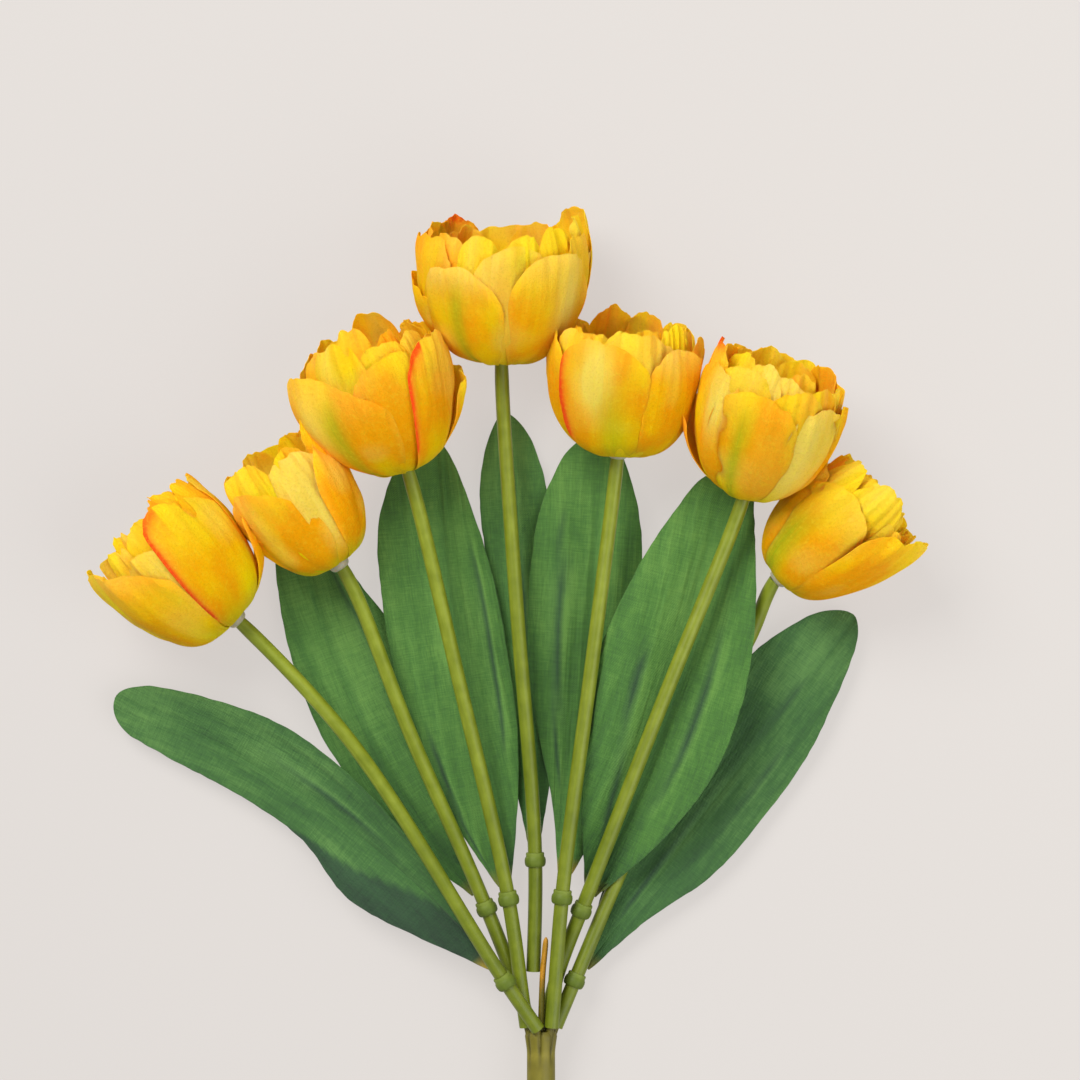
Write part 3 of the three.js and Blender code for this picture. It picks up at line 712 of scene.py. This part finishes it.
FLOWER_PETALS = {
    1: dict(outer=[
        (120, 44, 1.0, 0.86, "yellow", dict(red=(-1, 0.25, 1.1), lip=0.9, lean=14, span=1.05, slant=-0.35,
            shoulder=0.84, pleat=0.3, foot=0.6, ember=(0.7, -0.5, 0.3))),
        (40, 40, 1.03, 0.86, "gold", dict(slant=-0.3, shoulder=0.84, veil=(0.35, -0.5),
            blob=(0.7, -0.8, 0.7))),
        (176, 26, 1.12, 0.56, "yellow", dict(flare=2.2, shoulder=0.84, foot=0.8)),
        (250, 44, 1.0, 0.82, "gold"), (318, 40, 1.0, 0.8, "gold"),
    ], middle=[
        (14, 28, 0.97, 0.97, "yellow", dict(fray=2.6, flare=1.5)),
        (74, 28, 0.94, 0.8, "cream", dict(slant=-0.15)),
        (158, 30, 0.98, 0.98, "deep", dict(fray=2.4, shoulder=0.62)),
        (190, 26, 0.98, 0.95, "gold", dict(fray=1, flare=1)), (232, 40, 0.93, 0.95, "gold"),
        (292, 40, 0.93, 0.95, "gold"),
    ], inner=[
        (52, 26, 0.87, 0.94, "yellow", dict(fray=3)), (92, 30, 0.84, 0.97, "lime"),
        (128, 26, 0.9, 1.02, "gold", dict(fray=2.2)), (205, 30, 0.84, 0.97, "gold", dict(fray=1.5)),
        (262, 34, 0.84, 0.97, "gold"), (325, 34, 0.84, 0.97, "gold", dict(fray=2)),
        (60, 24, 0.74, 1.0, "gold", dict(fray=2)),
    ]),
    2: dict(outer=[
        (58, 46, 1.03, 0.74, "gold", dict(slant=-0.28, shoulder=0.62, lobes=0.2, fray=0.0, veil=(0.4, -0.9),
            ember=(0.4, 0.2, 0.35))),
        (150, 38, 1.08, 0.84, "gold", dict(slant=0.05, lean=4, foot=1.0, ember=(0.7, -0.2, 0.6))),
        (0, 32, 1.02, 0.62, "deep"), (222, 44, 1.0, 0.82, "gold"), (295, 40, 1.0, 0.85, "gold"),
    ], middle=[
        (100, 38, 0.97, 0.83, "cream", dict(pleat=0.4)),
        (148, 12, 1.0, 1.0, "gold", dict(curl=3.5, shoulder=0.84)), (66, 22, 0.99, 0.93, "yellow"),
        (34, 28, 0.95, 0.94, "yellow", dict(fray=3)), (205, 38, 0.94, 0.93, "gold"),
        (272, 42, 0.94, 0.98, "lime"), (330, 34, 0.92, 0.95, "yellow", dict(fray=2)),
    ], inner=[
        (58, 26, 0.87, 0.87, "gold"), (110, 28, 0.86, 0.88, "gold"), (165, 30, 0.86, 0.92, "gold"),
        (230, 34, 0.84, 0.97, "gold"), (290, 30, 0.86, 1.0, "yellow"), (350, 32, 0.84, 0.93, "gold"),
    ]),
    3: dict(outer=[
        (51, 45, 1.03, 0.67, "stripe", dict(slant=-0.3, shoulder=0.8, lobes=0.6, wing=4.0,
            blob=(0.75, -0.5, 0.7))),
        (142, 37, 1.05, 0.74, "yellow", dict(red=(-1, 0.3, 1.15), lip=1.0, lean=12, span=0.95, shoulder=0.8,
            foot=1.0, ember=(0.75, 0.1, 0.4))),
        (14, 32, 1.0, 0.6, "gold", dict(shoulder=0.84)),
        (184, 26, 1.12, 0.5, "yellow", dict(flare=1.8, shoulder=0.84, lobes=2.5)),
        (238, 42, 1.0, 0.8, "gold"), (305, 40, 1.0, 0.8, "gold"),
    ], middle=[
        (104, 38, 0.98, 0.7, "gold", dict(ember=(0.6, 0, 0.4))), (60, 30, 0.92, 0.89, "lime", dict(lobes=2)),
        (158, 34, 0.96, 0.77, "gold"), (215, 36, 0.95, 0.88, "gold"), (268, 34, 0.95, 0.97, "gold"),
        (325, 36, 0.95, 0.9, "gold"),
    ], inner=[
        (106, 30, 0.9, 0.8, "lime"), (80, 26, 0.86, 0.95, "gold", dict(lobes=2)),
        (30, 28, 0.86, 0.88, "gold"), (145, 28, 0.87, 0.82, "gold"), (200, 30, 0.85, 0.9, "gold"),
        (258, 26, 0.88, 1.05, "gold"), (310, 32, 0.85, 0.95, "gold"), (120, 24, 0.74, 0.86, "deep"),
    ]),
    4: dict(outer=[
        (58, 35, 1.04, 0.56, "stripe", dict(tip=0.6)),
        (127, 35, 1.05, 0.65, "gold", dict(blob=(0.72, 0.3, 1.0), tip=0.4)),
        (2, 30, 1.07, 0.52, "deep", dict(shoulder=0.84, lobes=3.5)),
        (340, 24, 1.06, 0.36, "deep", dict(shoulder=0.84, lobes=2)), (190, 32, 1.0, 0.72, "gold"),
        (245, 38, 1.0, 0.8, "gold"), (303, 36, 1.0, 0.75, "gold"),
    ], middle=[
        (96, 30, 0.98, 0.69, "cream", dict(veil=(0.3, 0.4))),
        (18, 34, 1.0, 0.79, "gold", dict(fray=1.5, lobes=2, shoulder=0.84, veil=(0.4, -0.3))),
        (162, 28, 0.99, 0.8, "yellow"), (208, 32, 1.0, 0.97, "yellow", dict(flare=1.5)),
        (268, 40, 0.96, 0.88, "gold"), (325, 34, 0.97, 0.88, "gold"),
    ], inner=[
        (46, 22, 0.93, 0.77, "gold"), (74, 20, 0.93, 0.76, "yellow"), (104, 20, 0.93, 0.76, "yellow"),
        (136, 22, 0.94, 0.83, "yellow"), (176, 24, 0.96, 0.92, "yellow"), (236, 32, 0.9, 0.89, "gold"),
        (306, 24, 0.94, 0.92, "gold", dict(redtip=1.2)), (345, 30, 0.9, 0.86, "gold"),
        (60, 26, 0.8, 0.76, "gold"), (150, 26, 0.8, 0.78, "gold"), (215, 26, 0.78, 0.86, "deep"),
        (310, 28, 0.78, 0.86, "deep"),
    ]),
    5: dict(outer=[
        (75, 39, 1.03, 0.71, "gold", dict(red=(-1, 0.3, 0.95), redtop=2.0, redwide=0.14, lip=0.9,
            blob=(0.8, -0.15, 1.3), veil=(0.5, 0.2), span=0.9, ember=(0.55, -0.6, 0.4))),
        (138, 30, 1.06, 0.72, "deep", dict(tip=0.5)), (8, 30, 1.04, 0.83, "gold", dict(lobes=2)),
        (352, 26, 1.05, 0.6, "deep"), (195, 34, 1.0, 0.75, "gold"), (252, 40, 1.0, 0.8, "gold"),
        (312, 36, 1.0, 0.8, "gold"),
    ], middle=[
        (104, 38, 0.97, 0.78, "cream", dict(pleat=0.45, fray=1.5, lobes=2)), (42, 30, 0.96, 0.79, "yellow"),
        (164, 26, 0.98, 0.8, "gold"), (214, 34, 0.95, 0.88, "yellow"), (268, 34, 0.94, 0.94, "gold"),
        (325, 34, 0.94, 0.86, "gold"),
    ], inner=[
        (134, 26, 0.9, 0.86, "yellow", dict(pleat=0.5, fray=1.5)), (90, 30, 0.86, 0.8, "yellow"),
        (54, 26, 0.88, 0.78, "yellow"), (286, 22, 0.9, 0.99, "gold"), (252, 22, 0.88, 0.96, "gold"),
        (220, 26, 0.88, 0.91, "yellow", dict(lobes=2)), (180, 28, 0.86, 0.85, "gold"),
        (330, 30, 0.86, 0.88, "gold"), (110, 30, 0.74, 0.82, "yellow"), (20, 30, 0.76, 0.82, "gold"),
    ]),
    6: dict(outer=[
        (80, 39, 1.04, 0.61, "stripe", dict(ember=(0.5, 0.5, 0.5))),
        (32, 36, 1.02, 0.74, "gold", dict(blob=(0.85, 0.3, 0.8), lobes=2)),
        (350, 30, 1.12, 0.52, "gold", dict(shoulder=0.84, flare=1.5)),
        (138, 34, 1.0, 0.64, "cream", dict(foot=0.5)), (172, 28, 1.0, 0.7, "gold"),
        (232, 42, 0.98, 0.8, "gold"), (300, 42, 1.0, 0.8, "gold"),
    ], middle=[
        (58, 32, 0.96, 0.76, "yellow"), (16, 26, 1.0, 0.9, "gold", dict(redtip=1, curl=2)),
        (112, 30, 0.95, 0.7, "yellow", dict(lobes=2)), (205, 34, 0.94, 0.84, "gold"),
        (262, 38, 0.94, 0.94, "yellow", dict(lobes=3)), (320, 36, 0.94, 0.9, "gold", dict(lobes=2)),
    ], inner=[
        (72, 24, 0.9, 0.82, "cream"), (98, 28, 0.87, 0.77, "cream"), (138, 26, 0.88, 0.76, "gold"),
        (176, 28, 0.87, 0.78, "gold"), (222, 24, 0.88, 0.93, "gold"),
        (285, 30, 0.88, 0.96, "yellow", dict(lobes=2)), (335, 30, 0.87, 0.9, "gold"),
        (40, 28, 0.8, 0.86, "yellow"), (120, 30, 0.74, 0.82, "gold"), (250, 30, 0.78, 0.9, "yellow"),
    ]),
    7: dict(outer=[
        (76, 44, 1.04, 0.72, "yellow", dict(veil=(0.9, -0.35), ember=(0.5, 0.45, 1.2),
            blob=(0.45, -0.8, 0.6), span=0.9)),
        (152, 42, 1.0, 0.84, "gold", dict(flare=3.8, slant=0.1, shoulder=0.86, ember=(0.55, -0.2, 0.6),
            lobes=1.5, foot=0.6)),
        (16, 42, 1.05, 0.76, "deep"), (232, 42, 1.0, 0.8, "gold"), (300, 42, 1.04, 0.8, "gold"),
    ], middle=[
        (98, 34, 0.96, 0.95, "yellow", dict(pleat=0.45, lobes=2)),
        (50, 24, 0.96, 0.9, "yellow", dict(lobes=2)), (130, 30, 0.97, 0.8, "yellow"),
        (205, 36, 0.94, 0.88, "gold"), (262, 38, 0.93, 0.93, "gold"), (325, 36, 0.95, 0.9, "gold"),
    ], inner=[
        (22, 26, 0.92, 0.86, "deep"), (70, 26, 0.86, 0.9, "yellow"),
        (118, 28, 0.88, 0.92, "cream", dict(pleat=0.4)), (170, 28, 0.86, 0.86, "gold"),
        (225, 30, 0.86, 0.9, "gold"), (285, 30, 0.86, 0.93, "gold"), (335, 30, 0.86, 0.9, "gold"),
    ]),
}


class Flower:
    """A flower's own place and size, read from its CAD nodes."""

    def __init__(self, n):
        collar, core = points_of(f"flower_{n}_collar"), points_of(f"flower_{n}_core")
        self.axis = unit((core.min(0) + core.max(0)) / 2 - (collar.min(0) + collar.max(0)) / 2)
        left = unit(np.cross([0, 0, 1], self.axis))
        self.basis = np.array([left, np.cross(self.axis, left), self.axis])
        centre = (collar.min(0) + collar.max(0)) / 2
        self.base = centre + self.axis * ((collar @ self.axis).min() - centre @ self.axis - 0.3)
        whorl = (points_of(f"flower_{n}_outer_petals") - self.base) @ self.basis.T
        self.length = ((points_of(f"flower_{n}_middle_petals") - self.base) @ self.basis.T)[:, 2].max()
        waist = np.abs(whorl[:, 2] - self.length * 0.5) < self.length * 0.2
        self.radius = np.median(np.hypot(whorl[waist, 0], whorl[waist, 1])) + 0.4
        self.sine = self.axis[2]
        self.cosine = math.hypot(self.axis[0], self.axis[1])

    def place(self, local):
        return self.base + local @ self.basis


# For each flower: blunt, below 1 for a foot that is blunter than an egg's; fit, the silk's fullness over the
# CAD petals; seat, where the petals start above the collar's foot.
FORMS = {
    1: dict(blunt=0.66, fit=1.07, seat=2.3),
    2: dict(blunt=0.66, fit=1.05, seat=2.3),
    3: dict(blunt=0.84, fit=1.08, seat=0.4),
    4: dict(blunt=0.76, fit=1.17, seat=0.3),
    5: dict(blunt=0.66, fit=1.08, seat=1.8),
    6: dict(blunt=0.76, fit=1.06, seat=0.9),
    7: dict(blunt=0.66, fit=1.05, seat=2.1),
}
EGG = 1.307  # an egg's whole length against a flower's
HUB = 2.2  # radius at which petals start


def patches(rng, U, V, rows, cols):
    """Soft noise from -1 to 1 over a petal, in rows patches along it and cols across it."""
    values = rng.uniform(-1, 1, (rows + 2, cols + 2))
    x, y = np.clip(U, 0, 1) * rows, (np.clip(V, -1, 1) + 1) / 2 * cols
    i, j = np.floor(x).astype(int), np.floor(y).astype(int)
    a, b = smooth(x - i), smooth(y - j)
    return ((values[i, j] * (1 - a) + values[i + 1, j] * a) * (1 - b)
            + (values[i, j + 1] * (1 - a) + values[i + 1, j + 1] * a) * b)


def petal_outline(o, rng, rows, cols, length):
    """Shares along (U) and across (V) a petal, and how far along it ends in each column."""
    s = np.linspace(-1, 1, cols + 1)
    v = 0.25 * s + 0.75 * np.sin(s * math.pi / 2)
    shoulder = o.get("shoulder", rng.uniform(0.68, 0.76))
    top = shoulder + (1 - shoulder) * np.clip(1 - np.abs(v) ** rng.uniform(2.2, 3.0), 0, 1) ** 0.55
    top *= 1 + o.get("slant", rng.uniform(-0.08, 0.08)) * v * 0.5
    lobes = np.abs(np.cos(v * rng.uniform(2.5, 5.0) + rng.uniform(0, 6))) ** 0.6 - 0.7
    top += lobes * rng.uniform(0.2, 1.0) * o.get("lobes", 1.4) / length
    place = (s + 1) / 2 * 0.9999
    ragged = eased(rng.uniform(-1, 1, 30), place) * 0.28
    torn = eased(rng.uniform(-1, 1, 21), place) * 0.5 * o.get("fray", 0.3)
    top += (ragged + torn) / length
    U = (np.linspace(0, 1, rows + 1) ** 0.9)[:, None] * top[None, :]
    return U, np.broadcast_to(v[None, :], U.shape), top


def petal_relief(o, rng, U, V, top, phase):
    """How far a petal lies off its egg: cupping, curls, ruffles, pleats and creases."""
    off = -rng.uniform(0.5, 1.1) * np.abs(V) ** 2.2 * smooth(U, 0.1, 0.6)
    off += o.get("flare", 0) * smooth(U, 0.25, 1.0)
    off += o.get("curl", rng.uniform(-0.9, 0.6)) * smooth(U, 0.78, 1.05) ** 2
    off += rng.uniform(0.2, 0.5) * np.sin(3.1 * V + 4 * U + phase[0]) * U
    off += rng.uniform(0.15, 0.4) * np.sin(7 * V + phase[1]) * U ** 2
    pleats = o.get("pleat", 0.17)
    off += pleats * np.sin(V * rng.uniform(20, 26) + phase[2]) * smooth(U, 0.35, 0.95) * (1 - 0.5 * V ** 2)
    off -= rng.uniform(0.1, 0.35) * np.exp(-(V / 0.13) ** 2) * smooth(U, 0.1, 0.4)
    off += 0.55 * patches(rng, U, V, 4, 4) + 0.22 * patches(rng, U, V, 9, 9) * smooth(U, 0.2, 0.8)
    rim = smooth(1 - (top[None, :] - U) / 0.2)
    off += rng.uniform(0.45, 0.95) * np.sin(V * rng.uniform(4, 9) + phase[4]) * rim
    off += 0.25 * np.sin(V * rng.uniform(13, 19) + phase[5]) * rim
    if "wing" in o:
        off += o["wing"] * smooth(-V, 0.0, 1.0) * smooth(U, 0.2, 0.9)
    if "lip" in o:
        off += o["lip"] * np.exp(-((1 + V) / 0.13) ** 2) * smooth(U, 0.15, 0.4)
    return off * smooth(U, 0.0, 0.18)


def petal_red(o, U, V, top):
    """The red of a petal's edge and tip, and how much warmer the edge makes the petal."""
    red, glow = np.zeros(U.shape), np.zeros(U.shape)
    if "red" in o:
        edge, first, last = o["red"]
        upper = np.where(edge * V > o.get("redtop", 0.55), 1.5 * (top[None, :] - U), 1.0)
        gap = np.minimum(1 - edge * V, upper)
        band = smooth(U, first, first + 0.15) * (1 - smooth(U, last - 0.1, last + 0.1))
        red = 1.3 * np.exp(-(gap / o.get("redwide", 0.075)) ** 2) * band
        glow = 0.6 * np.exp(-(gap / 0.3) ** 2)
    return red + o.get("redtip", 0) * smooth(U, 0.93, 1.0) * np.exp(-(V / 0.55) ** 2), glow


def petal_dye(o, rng, U, V, top, phase):
    """Where a petal is warm, green, pale and red; pale also holds the painted highlight of the tip option."""
    tone = rng.uniform(-0.1, 0.1)
    edge = np.abs(V)
    green = o["green"] * (1 - smooth(U - 0.1 * edge ** 2, 0.02, 0.36))
    strength, at = o.get("veil", (0.0, 0.0))
    veil = strength * np.exp(-((V - at) / 0.35) ** 2) * smooth(U, 0.05, 0.3)
    green = green + veil * (1 - smooth(U, 0.55, 0.9))
    drift = rng.uniform(-0.25, 0.05)
    stripe = np.exp(-((V - drift + 0.25 * (0.5 - U)) / 0.19) ** 2)
    green = green + o.get("stripe", 0.0) * stripe * smooth(U, 0.05, 0.25) * (1 - smooth(U, 0.7, 1.0))
    creamy = o["pale"] > 0.9
    pale = o["pale"] * smooth(U, 0.62 - 0.5 * creamy, 1.0 - 0.4 * creamy)
    pale = pale * (0.7 + 0.3 * np.cos(2 * V + phase[3]))
    pale = pale + 0.35 * o["pale"] * smooth(edge, 0.8, 1.0)
    if "blob" in o:
        bu, bv, amount = o["blob"]
        pale = pale + amount * np.exp(-((U - bu) / 0.2) ** 2 - ((V - bv) / 0.3) ** 2)
    # A paler tip from the tip option: a painted highlight.
    pale = pale + o.get("tip", 0) * smooth(U, 0.8, 1.0)
    pale = pale + o.get("foot", 0) * (1 - smooth(U, 0.05, 0.35)) * smooth(V, -0.6, 0.6)
    pale = pale + 0.5 * np.clip(patches(rng, U, V, 4, 3) - 0.15, 0, 1) * smooth(U, 0.15, 0.5)
    warm = o["warm"] + tone + 0.2 * smooth(U, 0.15, 0.5) * (1 - smooth(U, 0.6, 0.9))
    warm = warm + 0.15 * smooth(edge, 0.75, 1.0)
    warm = warm + 0.5 * patches(rng, U, V, 3, 3)
    if "ember" in o:
        eu, ev, amount = o["ember"]
        warm = warm + amount * np.exp(-((U - eu) / 0.28) ** 2 - ((V - ev) / 0.45) ** 2)
    red, glow = petal_red(o, U, V, top)
    return {"warm": warm + glow, "green": green, "pale": pale, "red": red}


def petal(flower, row, rng, fine, blunt, fit, seat):
    """One petal: part of an egg about the flower's axis, from the hub to where its tip has to show."""
    turn, half, layer, reach, look, *options = row
    o = {**LOOKS[look], **(options[0] if options else {})}
    radius = flower.radius * layer * fit
    egg = EGG * flower.length * (0.5 + 0.5 * layer)
    seat = seat + 5 * max(0.0, 1 - layer)
    start = math.asin((HUB / radius) ** (1 / blunt))
    raised = math.sin(math.radians(turn))

    def shown(theta):
        z = seat + egg / 2 * (math.cos(start) - math.cos(theta))
        return z * flower.cosine - radius * math.sin(theta) * flower.sine * raised

    tip, beyond = math.radians(40), math.radians(150)
    for _ in range(30):
        middle = (tip + beyond) / 2
        if shown(middle) < reach * flower.length:
            tip = middle
        else:
            beyond = middle
    length = (tip - start) * (radius + egg / 2) / 2

    U, V, top = petal_outline(o, rng, int(fine * FULL), int(fine * 1.5 * FULL), length)
    theta = start + (tip - start) * U
    foot = o.get("span", 0.72)
    span = foot + (1 - foot) * smooth(U, 0.0, 0.5)
    lean = np.radians(o.get("lean", rng.uniform(-3, 3)))
    angle = np.radians(turn) + np.radians(half) * V * span + lean * U ** 2
    phase = rng.uniform(0, 2 * math.pi, 6)
    off = petal_relief(o, rng, U, V, top, phase)
    nr, nz = np.sin(theta) * egg / 2, -np.cos(theta) * radius
    size = np.hypot(nr, nz)
    girth = np.where(theta < math.pi / 2, np.sin(theta) ** blunt, np.sin(theta))
    r = radius * girth + off * nr / size
    z = seat + egg / 2 * (math.cos(start) - np.cos(theta)) + off * nz / size
    grid = flower.place(np.stack([r * np.cos(angle), r * np.sin(angle), z], 2))
    co, faces = closed_sheet(grid, PETAL_THICKNESS)
    values = {"pu": U, "pv": V, "fx": V * half / 57.3 * r, "fy": U * length}
    values.update(petal_dye(o, rng, U, V, top, phase))
    values["seed"] = np.full(U.shape, rng.uniform(0, 90))
    return co, faces, on_both_sides(values)


# Whorls in the order in which they are made: how many rows a petal's grid has, its material and its slot.
WHORLS = {"outer": (34, PETAL, "petal"), "middle": (32, PETAL, "petal"), "inner": (28, INNER, "inner_petal")}
COLLAR_PROFILE = [(1.3, 0.3), (2.5, 0.15), (3.1, 0.6), (3.45, 1.3), (3.6, 2.1), (3.5, 2.5), (1.3, 2.5)]
COLLAR_HEIGHT = 2.2


def make_flower(n):
    flower = Flower(n)
    rng = np.random.default_rng(500 + n)
    for whorl, (fine, material, slot) in WHORLS.items():
        parts = [petal(flower, row, rng, fine, **FORMS[n]) for row in FLOWER_PETALS[n][whorl]]
        piece(f"{whorl}_petals_{n}", parts, material, [f"flower_{n}_{whorl}_petals"])
    ring = marked(turned(COLLAR_PROFILE, 32, flower.base, flower.axis), COLLAR_HEIGHT, 0.5)
    piece(f"collar_{n}", [ring], COLLAR, [f"flower_{n}_collar"])


for n in FLOWERS:
    make_flower(n)
    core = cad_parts[f"flower_{n}_core"]
    core.data.materials.clear()
    core.data.materials.append(CORE)


# ---- Trunk: one moulding with seven stubs. Six are inside the tubes; stem 4's stands bare. ----
CROWN = -100.3  # the trunk's top along Y
GROOVES = 3.5  # half of how many grooves run round the trunk's top
BODY_R = 4.72
BODY_SPREAD = 0.75  # how much wider the trunk is at its top
STUB_R = 1.3
BARE_FROM = -90  # where along Y the bare stub is first read
BARE_READS = 9


def grooved(angle, step):
    """The trunk's section: grooves that grow towards the top."""
    depth = 0.16 * smooth(step, 0.84, 0.95)
    return 1 - depth * np.abs(np.cos(GROOVES * angle + 0.5)) ** 14


def trunk_rod(foot, up):
    line = centreline("trunk", up, np.linspace(foot + 0.6, -116, 12))
    slope = (line[-1] - line[0]) / (line[-1] - line[0])[1]
    line = np.array([line[0] + slope * (y - line[0][1]) for y in np.linspace(foot, CROWN, 90)])
    radii = BODY_R + BODY_SPREAD * smooth(line[:, 1], -108, CROWN)
    radii[:4] = [4.2, 4.5, 4.65, 4.71]
    radii[-3:] = [5.4, 5.25, 4.9]
    body = swept(line, radii, 84, grooved)
    along = body[2]["pu"]
    # Painted shade in the slits along the grooves; a lighter band near the top, and darker at the very top.
    slit_shade = np.abs(np.cos(GROOVES * body[2]["pv"] + 0.5)) ** 10 * smooth(along, 0.82, 0.93)
    band = np.exp(-((along - 0.9) / 0.02) ** 2)
    light = 0.5 - 0.7 * slit_shade + 0.25 * band - 0.25 * smooth(along, 0.93, 1.0)
    return marked(body, CROWN - foot, light), line[-1]


def stub_rod(n, top, up):
    """A stub from the trunk's top into the foot of a tube."""
    tube = STEM_LINES[n]
    root = top + (tube[0] - top) * np.array([0.62, 0, 0.62]) - up * 5
    line = resample(relax(np.array([root, root + up * 3, tube[0], tube[2], tube[5]]), 2), 14)
    return marked(swept(line, np.full(14, STUB_R), 14), 12, 0.15)


def make_trunk():
    trunk = points_of("trunk")
    up = np.array([0.0, 1.0, 0.0])
    body, top = trunk_rod(trunk[:, 1].min(), up)
    stubs = [stub_rod(n, top, up) for n in FLOWERS if n != BARE]
    piece("trunk_body", [body, *stubs], TRUNK, ["trunk"])
    heights = np.linspace(BARE_FROM, trunk[:, 1].max() - 0.4, BARE_READS)
    marks = []
    for y, cut in zip(heights, slices("trunk", up, heights)):
        near = cut[(cut[:, 0] > 11) & (cut[:, 0] < 14.9) & (cut[:, 2] > 7.5)]
        marks.append([near[:, 0].mean(), y, near[:, 2].mean()])
    marks = np.array([top - up * 4, *marks])
    marks[1:-2, 0] -= 0.5 * np.sin(np.linspace(0.3, math.pi, len(marks) - 3))
    line = resample(relax(marks, 6), 40)
    radii = np.interp(np.linspace(0, 1, 40), [0, 0.5, 0.93, 0.98, 1], [1.2, 0.98, 0.95, 0.75, 0.3])
    nib = swept(line, radii, 18)
    marked(nib, 34, 0.5 * smooth(nib[2]["pu"], 0.42, 0.72))
    piece("bare_stub", [nib], NIB, ["trunk"])


make_trunk()

# ---- Floor, light and camera ----
FLOOR_HALF = 4.0  # metres
FLOOR_GAP = 0.0006


def make_floor():
    """A large sheet of paper, a little lighter to one side. It gives off part of its own light."""
    z = min(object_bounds()[0].z, 0.0) - FLOOR_GAP
    corners = [(x * FLOOR_HALF, y * FLOOR_HALF, z) for x, y in ((-1, -1), (1, -1), (1, 1), (-1, 1))]
    mesh = bpy.data.meshes.new("floor")
    mesh.from_pydata(corners, [], [(0, 1, 2, 3)])
    floor = bpy.data.objects.new("floor", mesh)
    bpy.context.scene.collection.objects.link(floor)
    paper = Shader("floor_paper", Roughness=0.9, Specular_IOR_Level=0.0, Emission_Strength=0.665)
    paper.bsdf.inputs["Base Color"].default_value = (0.12, 0.116, 0.112, 1)
    split = paper.node("SeparateXYZ", {0: paper.position()})
    slope = paper.sum(paper.times(split, 1.2), paper.times(split.node.outputs[1], 0.35))
    shade = paper.ramp(paper.sum(slope, 0.5), (0.2, srgb(236, 230, 226)), (0.8, srgb(245, 239, 234)))
    paper.tree.links.new(shade, paper.bsdf.inputs["Emission Color"])
    mesh.materials.append(paper.material)


make_floor()
world = bpy.data.worlds.new("studio")
world.use_nodes = True
world.node_tree.nodes["Background"].inputs["Color"].default_value = (1.0, 0.985, 0.97, 1)
world.node_tree.nodes["Background"].inputs["Strength"].default_value = 0.52
bpy.context.scene.world = world


def area_light(name, location, target, size, watts, color):
    data = bpy.data.lights.new(name, "AREA")
    data.shape, data.size, data.energy, data.color = "DISK", size, watts, color
    lamp = bpy.data.objects.new(name, data)
    lamp.location = location
    lamp.rotation_euler = (Vector(target) - Vector(location)).to_track_quat("-Z", "Y").to_euler()
    bpy.context.scene.collection.objects.link(lamp)


area_light("key", (-0.7, 0.9, 1.3), (0, 0.05, 0.02), 1.0, 34, (1.0, 0.985, 0.955))
area_light("fill", (1.0, -0.5, 1.2), (0, 0, 0.02), 1.6, 17, (0.99, 0.99, 1.0))

VIEW_WIDTH = 360.0  # what the camera sees across, at the flowers' height
VIEW_HEIGHT = 14
SENSOR = 36
eye = Vector((11.2, 63.8, 2200.0))
camera = bpy.data.cameras.new("camera")
camera.sensor_width = SENSOR
camera.lens = SENSOR * (eye.z - VIEW_HEIGHT) / VIEW_WIDTH
camera.clip_start = 0.02
camera_object = bpy.data.objects.new("camera", camera)
camera_object.location = eye * MM
bpy.context.scene.collection.objects.link(camera_object)
bpy.context.scene.camera = camera_object
bpy.context.scene.view_settings.view_transform = "Standard"
